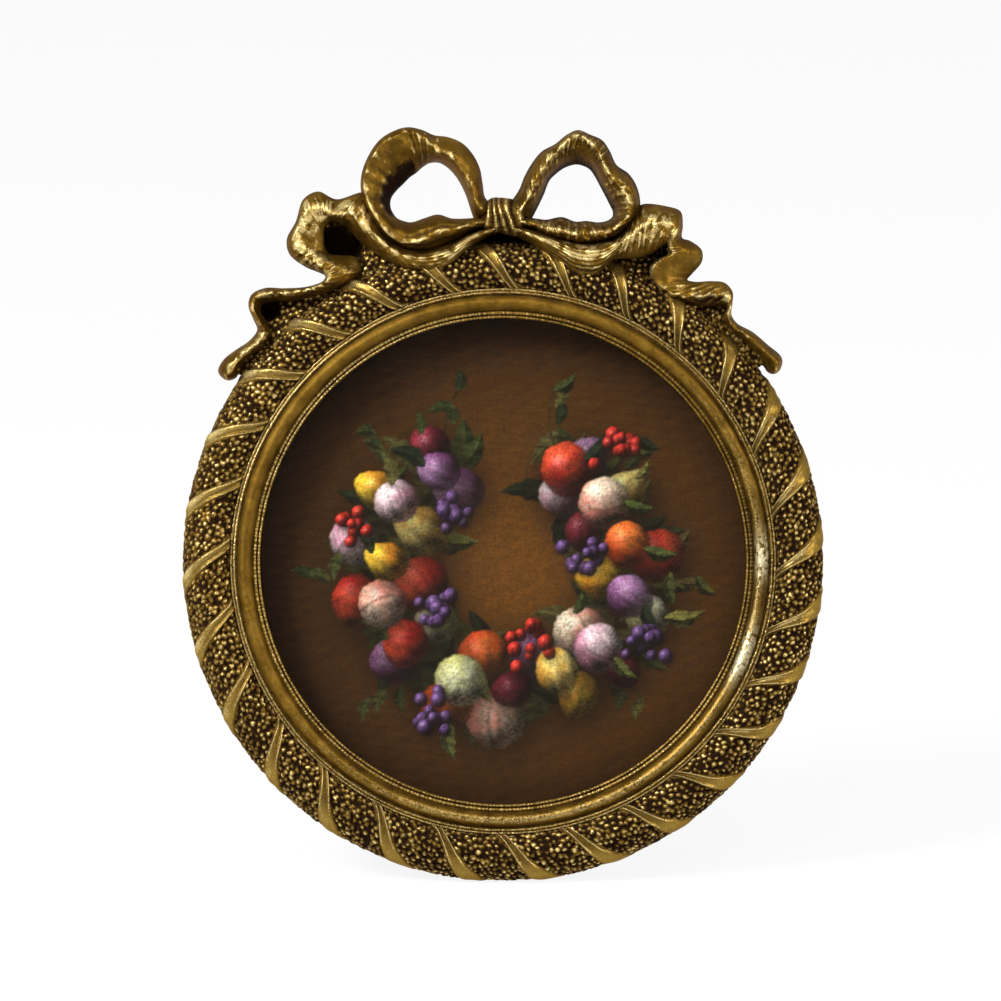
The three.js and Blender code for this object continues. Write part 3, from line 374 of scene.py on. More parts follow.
def add_piece(name, points, faces, material, nodes, layers, body="frame"):
    """A mesh in the frame's view that stands for CAD nodes, and nowhere below the table."""
    placed = to_row(points)
    placed[:, 2] = np.maximum(placed[:, 2], 0)
    mesh = bpy.data.meshes.new(name)
    mesh.from_pydata(placed.tolist(), [], [list(map(int, face)) for face in faces])
    mesh.polygons.foreach_set("use_smooth", [True] * len(mesh.polygons))
    for key, values in layers.items():
        add_layer(mesh, key, values)
    mesh.materials.append(material)
    mesh.update()
    piece = bpy.data.objects.new(name, mesh)
    bpy.context.collection.objects.link(piece)
    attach(piece, body)
    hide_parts(*nodes)


def add_gold(name, points, faces, node, **layers):
    """A gilded piece with its layers of wash and wear."""
    flat_layers = {key: np.ravel(values) for key, values in layers.items()}
    add_piece(name, points, faces, GOLD, [node], flat_layers)


# Materials


class Nodes:
    """A small helper for building a material's node tree."""

    def __init__(self, name):
        self.material = bpy.data.materials.new(name)
        self.material.use_nodes = True
        self.tree = self.material.node_tree
        self.shader = self.tree.nodes["Principled BSDF"]
        self.output = self.tree.nodes["Material Output"]
        self.place = self.add("TexCoord").outputs["Object"]

    def add(self, kind, **settings):
        node = self.tree.nodes.new("ShaderNode" + kind)
        for key, value in settings.items():
            setattr(node, key, value)
        return node

    def link(self, source, target):
        self.tree.links.new(source, target)

    def feed(self, socket, value):
        """Link an output to an input, or set the input to a plain value."""
        if isinstance(value, bpy.types.NodeSocket):
            self.link(value, socket)
        elif socket.type == "RGBA":
            socket.default_value = (*value, 1)
        else:
            socket.default_value = value

    def closure(self, kind, **inputs):
        """The output of a node with its named inputs fed."""
        node = self.add(kind)
        for name, value in inputs.items():
            self.feed(node.inputs[name], value)
        return node.outputs[0]

    def fed(self, node, *values):
        """The output of a node with its inputs fed in order."""
        for socket, value in zip(node.inputs, values):
            self.feed(socket, value)
        return node.outputs[0]

    def blend(self, share, first, second):
        """A mix of two shaders."""
        return self.fed(self.add("MixShader"), share, first, second)

    def noise(self, size, detail=3.0, roughness=0.5, stretch=None):
        """Noise whose features are about that many millimetres across, around 0.5."""
        place = self.place
        if stretch:
            mapping = self.add("Mapping")
            mapping.inputs["Scale"].default_value = stretch
            self.link(place, mapping.inputs["Vector"])
            place = mapping.outputs["Vector"]
        scale = 1 / (size * MM)
        return self.closure("TexNoise", Vector=place, Scale=scale, Detail=detail, Roughness=roughness)

    def layer(self, name, output="Fac"):
        return self.add("Attribute", attribute_name=name).outputs[output]

    def math(self, operation, *values):
        return self.fed(self.add("Math", operation=operation), *values)

    def remap(self, value, low, high, to_low=0.0, to_high=1.0):
        """A value from low to high carried over to another range, and held at its ends."""
        return self.fed(self.add("MapRange", clamp=True), value, low, high, to_low, to_high)

    def ramp(self, value, *stops):
        """Colours by value, each stop a place and a colour."""
        node = self.add("ValToRGB")
        elements = node.color_ramp.elements
        while len(elements) < len(stops):
            elements.new(0.5)
        for element, (position, colour) in zip(elements, stops):
            element.position = position
            element.color = (*colour, 1)
        self.link(value, node.inputs["Fac"])
        return node.outputs["Color"]

    def mix(self, share, first, second):
        """A mix of two colours."""
        node = self.add("Mix", data_type="RGBA")
        for number, value in ((0, share), (6, first), (7, second)):
            self.feed(node.inputs[number], value)
        return node.outputs[2]

    def bump(self, height, strength, distance, below=None):
        """Bump of that many millimetres over another bump."""
        inputs = {"Height": height, "Strength": strength, "Distance": distance * MM}
        if below:
            inputs["Normal"] = below
        return self.closure("Bump", **inputs)

    def finish(self, **inputs):
        for name, value in inputs.items():
            self.feed(self.shader.inputs[name.replace("_", " ")], value)
        return self.material


# Gold from its recesses to its worn edges, and how rough it is there; the recess colour also serves as
# painted shade and the worn colour as painted highlight
DIRT_AND_SHADE = (0.013, 0.006, 0.0035)
DEEP_GOLD = (0.1, 0.052, 0.006)
OLIVE_GOLD = (0.17, 0.092, 0.011)
BRIGHT_GOLD = (0.265, 0.151, 0.023)
PALE_GOLD = (0.335, 0.225, 0.05)
WORN_AND_LIT_GOLD = (0.78, 0.6, 0.25)
CHIP = (0.9, 0.8, 0.5)
GLANCING_GOLD = (0.5, 0.36, 0.13)
CLEAN_ROUGHNESS = 0.27
SATIN_ROUGHNESS = 0.55
DIRT_ROUGHNESS = 0.7


def antique_gold():
    """Gilded casting: dark wash in the recesses, olive gold, and pale worn edges; the wash and wear layers
    also carry painted shade and painted highlights.
    """
    n = Nodes("antique_gold")
    cloud = n.noise(3.0, 4, 0.6)
    dents = n.noise(0.9, 2)
    speck = n.noise(0.3, 3, 0.65)
    grain = n.noise(0.12, 2)
    gold = n.ramp(cloud, (0.3, DEEP_GOLD), (0.5, OLIVE_GOLD), (0.72, BRIGHT_GOLD))
    gold = n.mix(n.layer("pale"), gold, PALE_GOLD)
    rub = n.math("ADD", n.layer("wear"), n.remap(speck, 0.35, 0.7, -0.38, 0.38))
    worn_and_lit = n.mix(n.remap(rub, 0.3, 1.0), gold, WORN_AND_LIT_GOLD)
    blotches = n.remap(n.noise(0.75, 3, 0.65), 0.42, 0.5)
    chipped = n.mix(n.math("MULTIPLY", n.layer("flake"), blotches), worn_and_lit, CHIP)
    patchy = n.math("ADD", n.layer("wash"), n.remap(speck, 0.3, 0.7, -0.25, 0.25))
    fleck = n.remap(n.noise(0.4, 3, 0.7), 0.58, 0.68, 0, 0.55)
    dirt_and_shade = n.math("MAXIMUM", n.remap(patchy, 0.25, 0.9), fleck)
    satin = n.remap(n.layer("satin"), 0, 1, CLEAN_ROUGHNESS, SATIN_ROUGHNESS)
    dull = n.math("MAXIMUM", satin, n.remap(dirt_and_shade, 0, 1, CLEAN_ROUGHNESS, DIRT_ROUGHNESS))
    pitted = n.bump(speck, 0.7, 0.1, n.bump(grain, 0.55, 0.045))
    return n.finish(
        Base_Color=n.mix(dirt_and_shade, chipped, DIRT_AND_SHADE),
        Metallic=n.remap(dirt_and_shade, 0, 1, 0.85, 0.1),
        Roughness=n.math("ADD", dull, n.remap(cloud, 0.3, 0.7, -0.03, 0.08)),
        Specular_IOR_Level=n.remap(dirt_and_shade, 0, 1, 0.5, 0.02),
        Specular_Tint=GLANCING_GOLD,
        Normal=n.bump(dents, 0.4, 0.14, pitted),
    )


def printed_paper():
    """The print: painted colours with a fine canvas grain under a thin varnish."""
    n = Nodes("printed_paper")
    weave = n.noise(0.35, 2, 0.6, (1.0, 0.35, 0.35))
    cross = n.noise(0.3, 2, 0.6, (0.35, 1.0, 1.0))
    cloth = n.math("ADD", weave, cross)
    gap = (0.02, 0.012, 0.006)
    return n.finish(
        Base_Color=n.mix(n.remap(cloth, 0.75, 1.2, 0.46, 0.0), n.layer("paint", "Color"), gap),
        Roughness=n.remap(cloth, 0.7, 1.3, 0.6, 0.45),
        Specular_IOR_Level=0.08,
        Normal=n.bump(cloth, 0.3, 0.05),
    )


def clear_glass():
    """Flat glass: clear straight through, a mirror that grows at a slant, and a faint haze of dust."""
    n = Nodes("clear_glass")
    clear = n.closure("BsdfTransparent", Color=(0.96, 0.97, 0.965))
    mirror = n.closure("BsdfGlossy", Roughness=0.04)
    dust = n.closure("BsdfDiffuse", Color=(0.8, 0.78, 0.75))
    outer_side = n.math("SUBTRACT", 1.0, n.add("NewGeometry").outputs["Backfacing"])
    mirroring = n.math("MULTIPLY", n.closure("Fresnel", IOR=1.5), outer_side)
    haze = n.remap(n.noise(14, 4, 0.6), 0.55, 0.8, 0.0, 0.004)
    n.tree.nodes.remove(n.shader)
    n.link(n.blend(haze, n.blend(mirroring, clear, mirror), dust), n.output.inputs["Surface"])
    return n.material


def grey_card():
    """Board with coarse dark fibres."""
    n = Nodes("grey_card")
    fibre = n.noise(0.5, 5, 0.7)
    colour = n.mix(n.remap(n.noise(7), 0.3, 0.7), (0.42, 0.36, 0.27), (0.5, 0.44, 0.35))
    colour = n.mix(n.remap(fibre, 0.58, 0.72, 0, 0.5), colour, (0.3, 0.25, 0.18))
    return n.finish(Base_Color=colour, Roughness=0.9, Normal=n.bump(fibre, 0.4, 0.08))


def flocked_board():
    """Black flocked card: a short pile that lies in soft patches."""
    n = Nodes("flocked_board")
    pile = n.noise(0.16, 3, 0.7)
    lie = n.noise(9, 3, 0.6)
    colour = n.mix(n.remap(lie, 0.35, 0.7), (0.012, 0.011, 0.011), (0.028, 0.026, 0.025))
    return n.finish(
        Base_Color=n.mix(n.remap(pile, 0.45, 0.7, 0, 0.6), colour, (0.055, 0.05, 0.048)),
        Roughness=0.95,
        Sheen_Weight=0.4,
        Sheen_Roughness=0.45,
        Sheen_Tint=(0.5, 0.48, 0.46),
        Normal=n.bump(pile, 0.7, 0.12),
    )


def brassed_steel():
    """Brass-plated steel, drawn, with brown spots."""
    n = Nodes("brassed_steel")
    drawn = n.noise(0.5, 3, 0.6, (6, 1, 0.4))
    colour = n.mix(n.remap(n.noise(4, 3, 0.6), 0.35, 0.7), (0.62, 0.45, 0.17), (0.74, 0.58, 0.28))
    colour = n.mix(n.remap(n.noise(0.9, 4, 0.7), 0.62, 0.72), colour, (0.2, 0.13, 0.05))
    rough = n.remap(drawn, 0.3, 0.7, 0.24, 0.42)
    return n.finish(Base_Color=colour, Metallic=1.0, Roughness=rough, Normal=n.bump(drawn, 0.2, 0.02))


def steel():
    """Drawn steel with faint rust spots."""
    n = Nodes("steel")
    drawn = n.noise(0.4, 3, 0.6, (1, 5, 1))
    colour = n.mix(n.remap(n.noise(3, 3, 0.6), 0.35, 0.7), (0.5, 0.5, 0.49), (0.64, 0.63, 0.61))
    colour = n.mix(n.remap(n.noise(0.7, 4, 0.7), 0.64, 0.74, 0, 0.7), colour, (0.22, 0.17, 0.12))
    rough = n.remap(drawn, 0.3, 0.7, 0.26, 0.45)
    return n.finish(Base_Color=colour, Metallic=1.0, Roughness=rough, Normal=n.bump(drawn, 0.2, 0.02))


GOLD = antique_gold()
FINISHES = (clear_glass, grey_card, flocked_board, brassed_steel, steel)
FINISH = {finish.__name__: finish() for finish in FINISHES}


# Ring


def band_frame(angle):
    """A place on the band's bare section and its outward normal, as radius and depth."""
    radius = CREST_RADIUS + BAND_REACH * np.cos(angle)
    depth = BAND_SIDE_DEPTH + BAND_RISE * np.sin(angle)
    out_radius = np.cos(angle) / BAND_REACH
    out_depth = np.sin(angle) / BAND_RISE
    length = np.hypot(out_radius, out_depth)
    return radius, depth, out_radius / length, out_depth / length


def band_angles(count):
    """Angles along the band's section, evenly spaced over its surface."""
    fine = np.linspace(BAND_FOOT_ANGLE, BAND_INNER_ANGLE, 800)
    step = np.hypot(BAND_REACH * np.sin(fine), BAND_RISE * np.cos(fine))
    length = np.concatenate(([0], np.cumsum((step[1:] + step[:-1]) / 2)))
    return np.interp(np.linspace(0, length[-1], count), length, fine)


def around(radius, angle, depth):
    """Points at a radius, an angle round the ring and a depth."""
    return np.column_stack((radius * np.sin(angle), radius * np.cos(angle), depth))


def near_turn(theta, degrees, spread):
    """1 at a place round the ring, fading over the spread, both in degrees."""
    return near((np.degrees(theta) - degrees + 180) % 360 - 180, 0, spread)


def patches(theta, *spots):
    """The sum of soft patches round the ring, each a strength, a place and a spread."""
    return sum(strength * near_turn(theta, place, spread) for strength, place, spread in spots)


NEIGHBOURS = list(product((-1, 0, 1), repeat=3))
GOLDEN_SHARE = 0.618


def scatter(candidates):
    """Those of the points that keep about a pebble's spacing from the ones before them."""
    cells = {}
    kept = []
    for number, point in enumerate(candidates):
        gap = PEBBLE_SPACING * (0.82 + 0.36 * ((number * GOLDEN_SHARE) % 1))
        x, y, z = (int(step) for step in np.floor(point / PEBBLE_SPACING))
        close = (q for i, j, k in NEIGHBOURS for q in cells.get((x + i, y + j, z + k), ()))
        if all(math.dist(point, q) > gap for q in close):
            cells.setdefault((x, y, z), []).append(point.tolist())
            kept.append(point)
    return np.array(kept)


def pebbles(points, centres):
    """Each point's height on its pebble, its closeness to the pebble's top and how clean the pebble is."""
    local = np.random.default_rng(len(centres))
    radii = local.uniform(*PEBBLE_RADII, len(centres))
    heights = local.uniform(*PEBBLE_HEIGHTS, len(centres))
    cleanness = local.uniform(0, 1, len(centres))
    tree = kdtree.KDTree(len(centres))
    for number, centre in enumerate(centres):
        tree.insert(centre, number)
    tree.balance()
    uneven = np.column_stack([0.1 * wander(points, 0.9, seed) for seed in (31, 32, 33)])
    found = [tree.find(point)[1:] for point in points + uneven]
    nearest = np.array([number for number, _ in found])
    share = np.array([distance for _, distance in found]) / radii[nearest]
    top = np.sqrt(np.clip(1 - share * share, 0, 1))
    return heights[nearest] * top, top, cleanness[nearest] * (share < 1)


def strew(points, picked, candidates):
    """Height, top and cleanness of pebbles strewn at some of the candidates, on the picked points."""
    layers = np.zeros((3, len(points)))
    layers[:, picked] = pebbles(points[picked], scatter(candidates))
    return layers


def pebble_finish(top, clean):
    """Wash and wear over pebbles: dark between them, and a pale cap on each top, of worn gilding and
    painted highlight, brightest on the cleaner ones.
    """
    wash = 1.08 - (0.66 + 0.4 * clean) * top**2
    wear = smoothstep(0.74, 0.97, top) * (0.42 + 0.85 * clean)
    return wash, wear


# The band's grid: rows over its section from the rim inwards, columns over each strap and each gap
BAND_ROWS = 86
STRAP_COLUMNS = 28
GAP_COLUMNS = 48
PEBBLE_TRIES = 90000
# Places round the ring, in degrees, and the spread about them; the straps at LIT_STRAPS and the pebbles
# # at LIT_PEBBLES are painted lighter as lit, and the straps at GLINTING_STRAPS get a painted glint
EVEN_STRAPS = (285, 60)
LIT_STRAPS = (300, 55)
LIT_PEBBLES = (272, 60)
GLINTING_STRAPS = (95, 40)


def sweep(share):
    """Turn of a strap along the band, with a hook at its inner end."""
    return STRAP_SWEEP * (0.7 * share + 0.3 * share**3 - 0.5)


def uneven_pitch(turn):
    """The straps drift round the ring."""
    lag = STRAP_LAG * near(turn, STRAP_LAG_MIDDLE, STRAP_LAG_SPREAD)
    return turn + STRAP_DRIFT * (1 - np.cos(turn - STRAP_DRIFT_START)) + lag


def strap_half(share, turn):
    """Half a strap's width: the straps taper inwards, those on the left least."""
    even = near_turn(turn, *EVEN_STRAPS)
    outer = STRAP_OUTER_HALF - 0.55 * even
    inner = STRAP_INNER_HALF + 0.42 * even
    return lerp(outer, inner, smoothstep(0.25, 0.98, share))


def strap_columns(share, radius):
    """Turn of each column round the ring, and its place: -1 to 1 across a strap, 1 to 2 across the gap."""
    in_gap = 1 + np.linspace(0, 1, GAP_COLUMNS + 1)[1:-1]
    across = np.concatenate((np.linspace(-1, 1, STRAP_COLUMNS + 1), in_gap))
    columns = []
    for strap in range(STRAP_COUNT):
        middle = STRAP_PITCH * (strap + 0.5)
        start = strap_half(share, middle) / radius
        end = STRAP_PITCH - strap_half(share, middle + STRAP_PITCH) / radius
        turn = np.where(across <= 1, across * start, start + (across - 1) * (end - start))
        columns.append(middle + sweep(share) + turn)
    return uneven_pitch(np.hstack(columns)), np.tile(across, STRAP_COUNT)


def strap_forms(share, place, theta):
    """Where a strap's forms lie: on the left a ridge, flank and groove, else a channel with rolled edges."""
    rounded = near_turn(theta, *EVEN_STRAPS)
    edge = np.clip(np.abs(place), 0, 1)
    # glint marks a painted glint on the straps on the right; lit marks the straps on the upper left that are
    # painted brighter as lit
    glint = near_turn(theta, *GLINTING_STRAPS) * near(share, 0.78, 0.12) * near(place, -0.25, 0.38)
    return SimpleNamespace(
        edge=edge,
        rounded=rounded,
        channelled=smoothstep(0.48, 0.74, share) * (1 - 0.55 * rounded),
        roll=near(edge, 0.72, 0.22),
        ridge=near(place, 0.42, 0.36),
        flank=near(place, -0.62, 0.3),
        groove=near(place, -0.16, 0.2),
        lit=near_turn(theta, *LIT_STRAPS),
        glint=glint,
    )


def strap_height(form, share):
    """Height over the bare band: flush with the pebbles at the rim, then ridged or channelled."""
    raised = form.rounded * smoothstep(0.16, 0.44, share)
    ridged = 0.5 * form.ridge + 0.26 * form.flank - 0.08
    rim = lerp(0.22 * (1 - form.edge**8), ridged, raised)
    return lerp(rim, 0.14 + 0.4 * form.roll - 0.4 * form.edge**14, form.channelled)


def strap_finish(form, share):
    """Wash, wear and paleness of the straps, with painted highlights on the straps on the upper left, and
    a painted glint with less wash under it on the straps on the right.
    """
    floor = (0.5 + 0.25 * smoothstep(0.66, 0.85, share)) * form.channelled * (1 - form.edge**2)
    groove = 0.6 * form.groove * form.rounded * near(share, 0.55, 0.3)
    # The glint is a painted highlight with less wash under it, and form.lit paints the straps on the upper
    # left brighter as lit
    wash = (floor + 0.5 * form.edge**12 + groove) * (1 - form.glint)
    shoulder = (0.1 + 0.55 * form.lit) * near(share, 0.46, 0.13)
    rim = (0.16 + shoulder) * (1 - form.edge**4) + 0.35 * form.ridge * form.rounded
    wear = lerp(rim, 0.12 + 0.15 * form.lit + 0.7 * form.roll, form.channelled) + 1.1 * form.glint
    pale = 0.7 * (1 - 0.8 * form.channelled) * (1 - form.edge**6)
    return wash, wear, pale


def band_pebbles(flat, in_gap, angles):
    """Pebbles strewn over the band, on the points in its gaps."""
    rows = np.linspace(0, 1, len(angles))
    angle = np.interp(random.uniform(0, 1, PEBBLE_TRIES), rows, angles)
    turn = random.uniform(0, 2 * math.pi, PEBBLE_TRIES)
    radius, depth, _, _ = band_frame(angle)
    return strew(flat, in_gap, around(radius, turn, depth))


def gap_height(dome, share, place, radius):
    """Height of the pebbled ground over the bare band: sunk inwards, with low pebbles beside the straps."""
    gap_share = np.clip(place - 1, 0, 1)
    gap_width = STRAP_PITCH * radius - 2 * strap_half(share, 0)
    beside = near(np.minimum(gap_share, 1 - gap_share) * gap_width, 0, 0.16)
    inboard = smoothstep(0.22, 0.42, share)
    return lerp(-0.04, -PEBBLE_SINK, inboard) + lerp(0.18, 0.52, inboard) * dome * (1 - 0.75 * beside)


def rope_band():
    """Points over the band in rows and columns, and its layers."""
    angles = band_angles(BAND_ROWS)
    share = np.linspace(0, 1, BAND_ROWS)[:, None]
    section = [part[:, None] for part in band_frame(angles)]
    theta, place = strap_columns(share, section[0])
    shape = theta.shape
    radius, depth, out_radius, out_depth = (np.broadcast_to(part, shape) for part in section)
    flat = around(*map(np.ravel, (radius, theta, depth)))
    on_strap = np.broadcast_to(place <= 1, shape)
    dome, top, clean = band_pebbles(flat, ~on_strap.ravel(), angles).reshape(3, *shape)
    form = strap_forms(share, place, theta)
    lift = np.where(on_strap, strap_height(form, share), gap_height(dome, share, place, section[0]))
    ends = smoothstep(0.0, 0.04, 1 - share) * smoothstep(0, 0.05, share)
    lift = lerp(-0.1, lift, ends) + 0.05 * wander(flat, 2.2, 3).reshape(shape)
    lifted = (radius + out_radius * lift, theta, depth + out_depth * lift)
    points = around(*map(np.ravel, lifted))
    strap_wash_and_light, strap_wear_and_light, pale = strap_finish(form, share)
    gap_wash_and_light, gap_wear_and_light = pebble_finish(top, clean)
    # Pebbles on the left are painted lighter as lit.
    gap_wash_and_light = gap_wash_and_light - 0.14 * near_turn(theta, *LIT_PEBBLES)
    # Painted shade on the band's outward side near the rim.
    rim_shade = 0.26 * smoothstep(0.3, 0.1, share)
    layers = {
        "wash": rim_shade + np.where(on_strap, strap_wash_and_light, gap_wash_and_light),
        "wear": np.where(on_strap, strap_wear_and_light, gap_wear_and_light),
        "pale": np.where(on_strap, pale, 0),
    }
    return points.reshape(*shape, 3), layers


def build_band():
    """The band in two halves that part at straps."""
    points, layers = rope_band()
    rows, count, _ = points.shape
    middle = count // 2 + STRAP_COLUMNS
    spans = {
        "rope_band_right": np.arange(STRAP_COLUMNS, middle + 1),
        "rope_band_left": np.arange(middle, count + STRAP_COLUMNS + 1) % count,
    }
    for name, span in spans.items():
        half_layers = {key: layer[:, span] for key, layer in layers.items()}
        faces = grid_faces(rows, len(span))
        add_gold(name, points[:, span].reshape(-1, 3), faces, "frame_ring", **half_layers)


def arch(outer, inner, base, crest, end, steps):
    """A half-round from its outer to its inner foot, as rows of radius and depth."""
    angle = np.linspace(0, math.pi, steps + 1)
    foot = np.where(angle < math.pi / 2, base, end)
    radius = (outer + inner) / 2 + (outer - inner) / 2 * np.cos(angle)
    return np.column_stack((radius, foot + (crest - foot) * np.sin(angle)))


def beading(theta, radius, pitch):
    """Uneven little beads along a thin moulding, from 0 to 1."""
    beads = round(2 * math.pi * radius / pitch)
    waver = 1.3 * np.sin(theta * (beads // 7) + 0.4) + 0.9 * np.sin(theta * (beads // 3) + 2.1)
    return 0.5 + 0.5 * np.sin(beads * theta + waver)


def crown(share):
    """1 along the middle of a moulding and 0 at its feet."""
    return np.sin(math.pi * share)


def lathe(name, profile, count, finish, bead_pitch=None, bead_height=0.0):
    """A moulding turned about the ring's axis. Its finish gives layers by the share along the profile,
    the angle round the ring and the bead there."""
    rows = len(profile)
    theta = np.tile(full_turn(count), rows)
    share = np.repeat(np.linspace(0, 1, rows), count)
    radius, depth = np.repeat(profile, count, axis=0).T
    points = around(radius, theta, depth)
    bead = np.ones(len(points))
    if bead_pitch:
        bead = beading(theta, profile[:, 0].mean(), bead_pitch)
        points[:, 2] += bead_height * (bead - 1) * crown(share) ** 0.7
    front = depth > SIGHT_EDGE_DEPTH - 0.1
    points[:, 2] += front * (0.025 * wander(points, 1.6, 5) + 0.04 * wander(points, 7, 6))
    faces = grid_faces(rows, count, close_columns=True)
    add_gold(name, points, faces, "frame_ring", **finish(share, theta, bead))


def fillet_finish(share, theta, bead):
    # The ridge is painted brighter on the left as a highlight.
    ridge = (0.1 + 0.1 * bead + 0.35 * near_turn(theta, 285, 50)) * near(share, 0.7, 0.18)
    return {
        "wash": 0.2 * (1 - bead) + 0.3 * smoothstep(0.86, 1.0, share),
        "wear": 0.35 + ridge + 0.28 * near(share, 0.22, 0.16),
    }


def build_fillet():
    """Two low ridges inside the band, and the groove beside the half-round."""
    inner_radius, inner_depth, _, _ = band_frame(BAND_INNER_ANGLE)
    parting = (BAND_INNER + FILLET_INNER) / 2
    valley = FILLET_DEPTH - 0.25
    profile = np.vstack(
        (
            [[inner_radius, inner_depth - 0.1]],
            arch(BAND_INNER + 0.05, parting + 0.02, FILLET_DEPTH - 0.3, FILLET_DEPTH - 0.1, valley, 6),
            arch(parting - 0.02, FILLET_INNER - 0.19, valley, FILLET_DEPTH + 0.22, GROOVE_FLOOR, 8),
            [[FILLET_INNER - 0.21, GROOVE_FLOOR], [TORUS_OUTER, GROOVE_FLOOR]],
        )
    )
    lathe("ring_fillet", profile, 1900, fillet_finish, bead_pitch=0.7, bead_height=0.05)


def half_round_finish(share, theta, bead):
    """Mottled gold with painted light: painted shade on the upper left and at its feet, stains below and
    on the right, wear and painted highlight on its crown below and on the right, painted highlight
    lines along both flanks, and on the right a painted dark streak beside a painted highlight.
    """
    stain_and_shade = 0.14 + patches(theta, (0.2, 305, 70), (0.18, 120, 45), (0.12, 180, 35))
    shaded_feet = (0.5 - 0.3 * near_turn(theta, 295, 70)) * (1 - crown(share)) ** 5
    painted_light_and_wear = 0.12 + patches(theta, (0.27, 128, 42), (0.4, 185, 40), (0.2, 75, 25))
    # Painted highlight lines along both flanks.
    edges = near(share, 0.12, 0.04) + near(share, 0.88, 0.04)
    painted_streaks = near_turn(theta, 92, 36)
    chipped = np.clip(patches(theta, (1.3, 89, 4), (1.3, 111, 5)), 0, 1)
    return {
        "wash": stain_and_shade + shaded_feet + 0.45 * painted_streaks * near(share, 0.36, 0.12),
        "wear": painted_light_and_wear * crown(share) ** 5 + 0.35 * edges + 0.4 * painted_streaks * near(share, 0.66, 0.07),
        "flake": crown(share) * chipped,
        "satin": smoothstep(-0.5, 0.6, np.cos(theta - math.radians(318))),
    }


def build_half_round():
    profile = arch(TORUS_OUTER, TORUS_INNER, TORUS_FOOT, TORUS_DEPTH, TORUS_FOOT, 26)
    lathe("ring_half_round", profile, 1500, half_round_finish)


def bead_finish(share, theta, bead):
    """Bright bead rows with a dark parting; the outer row is painted dark on the right as shade, the rows
    are painted lighter on the upper left and darker on the upper right as lit and shaded, and the groove
    is painted lighter on the left as lit.
    """
    groove = (0.5 - 0.4 * near_turn(theta, 280, 60)) * smoothstep(0.14, 0.04, share)
    dull = 0.5 * near_turn(theta, 85, 35) * near(share, 0.3, 0.15)
    bright = 0.7 + patches(theta, (0.2, 310, 50), (-0.25, 40, 45))
    rows = near(share, 0.33, 0.13) + near(share, 0.79, 0.13)
    return {
        "wash": 0.12 + 0.3 * (1 - bead) + 0.8 * near(share, 0.56, 0.05) + groove + dull,
        "wear": bright * (0.4 + 0.6 * bead) * rows,
    }


def build_bead():
    """Two thin beaded rows along the sight edge."""
    profile = np.vstack(
        (
            [[TORUS_INNER, GROOVE_FLOOR], [BEAD_OUTER + 0.2, GROOVE_FLOOR - 0.1]],
            arch(BEAD_OUTER + 0.15, BEAD_PARTING + 0.04, GROOVE_FLOOR, BEAD_DEPTH, GROOVE_DEPTH, 7),
            arch(BEAD_PARTING - 0.04, SIGHT_RADIUS, GROOVE_DEPTH, BEAD_DEPTH - 0.1, SIGHT_EDGE_DEPTH, 7),
        )
    )
    lathe("ring_bead", profile, 2000, bead_finish, bead_pitch=0.6, bead_height=0.06)


def back_finish(share, theta, bead):
    return {"wash": np.where(share < 0.3, 0.9, 0.42)}


def build_back():
    """The sight edge's wall, the rabbet and the flat back."""
    foot_radius, foot_depth, _, _ = band_frame(BAND_FOOT_ANGLE)
    profile = np.array(
        [
            [SIGHT_RADIUS, SIGHT_EDGE_DEPTH],
            [SIGHT_RADIUS, SIGHT_EDGE_DEPTH - 1],
            [SIGHT_RADIUS, RABBET_DEPTH],
            [RABBET_RADIUS, RABBET_DEPTH],
            [RABBET_RADIUS, RABBET_ROUNDING],
            [RABBET_RADIUS + RABBET_ROUNDING, 0.0],
            [BACK_MIDDLE, 0.0],
            [BACK_OUTER, 0.0],
            [foot_radius, foot_depth],
        ]
    )
    lathe("ring_back", profile, 480, back_finish)


# Bow


def from_knot(pairs):
    """Places given as x and y from the knot's middle."""
    pairs = np.asarray(pairs, float)
    return np.column_stack((pairs[:, 0], KNOT_HEIGHT + pairs[:, 1]))


def from_rim(pairs):
    """Places given as a length along the rim and a rise above it."""
    pairs = np.asarray(pairs, float)
    angle = pairs[:, 0] / OUTER_RADIUS
    radius = OUTER_RADIUS + pairs[:, 1]
    return np.column_stack((radius * np.sin(angle), radius * np.cos(angle)))


def through(points, places):
    """A smooth curve through points, read at places counted in points."""
    points = np.asarray(points, float)
    padded = np.vstack((2 * points[0] - points[1], points, 2 * points[-1] - points[-2]))
    start = np.clip(np.floor(places).astype(int), 0, len(points) - 2)
    t = (places - start)[:, None]
    p0, p1, p2, p3 = (padded[start + k] for k in range(4))
    lengths = [np.linalg.norm(b - a, axis=1) for a, b in ((p0, p1), (p1, p2), (p2, p3))]
    d0, d1, d2 = (np.sqrt(np.maximum(length, 1e-4))[:, None] for length in lengths)
    m1 = ((p1 - p0) / d0 - (p2 - p0) / (d0 + d1) + (p2 - p1) / d1) * d1
    m2 = ((p2 - p1) / d1 - (p3 - p1) / (d1 + d2) + (p3 - p2) / d2) * d1
    c2 = -3 * p1 + 3 * p2 - 2 * m1 - m2
    c3 = 2 * p1 - 2 * p2 + m1 + m2
    return p1 + m1 * t + c2 * t**2 + c3 * t**3


# A ribbon: steps from station to station, points from its ridge to an edge, and its finish
STATION_STEPS = 14
SIDE_POINTS = 15
RIM_WIDTH = 0.42
WALL_WASH = 0.85


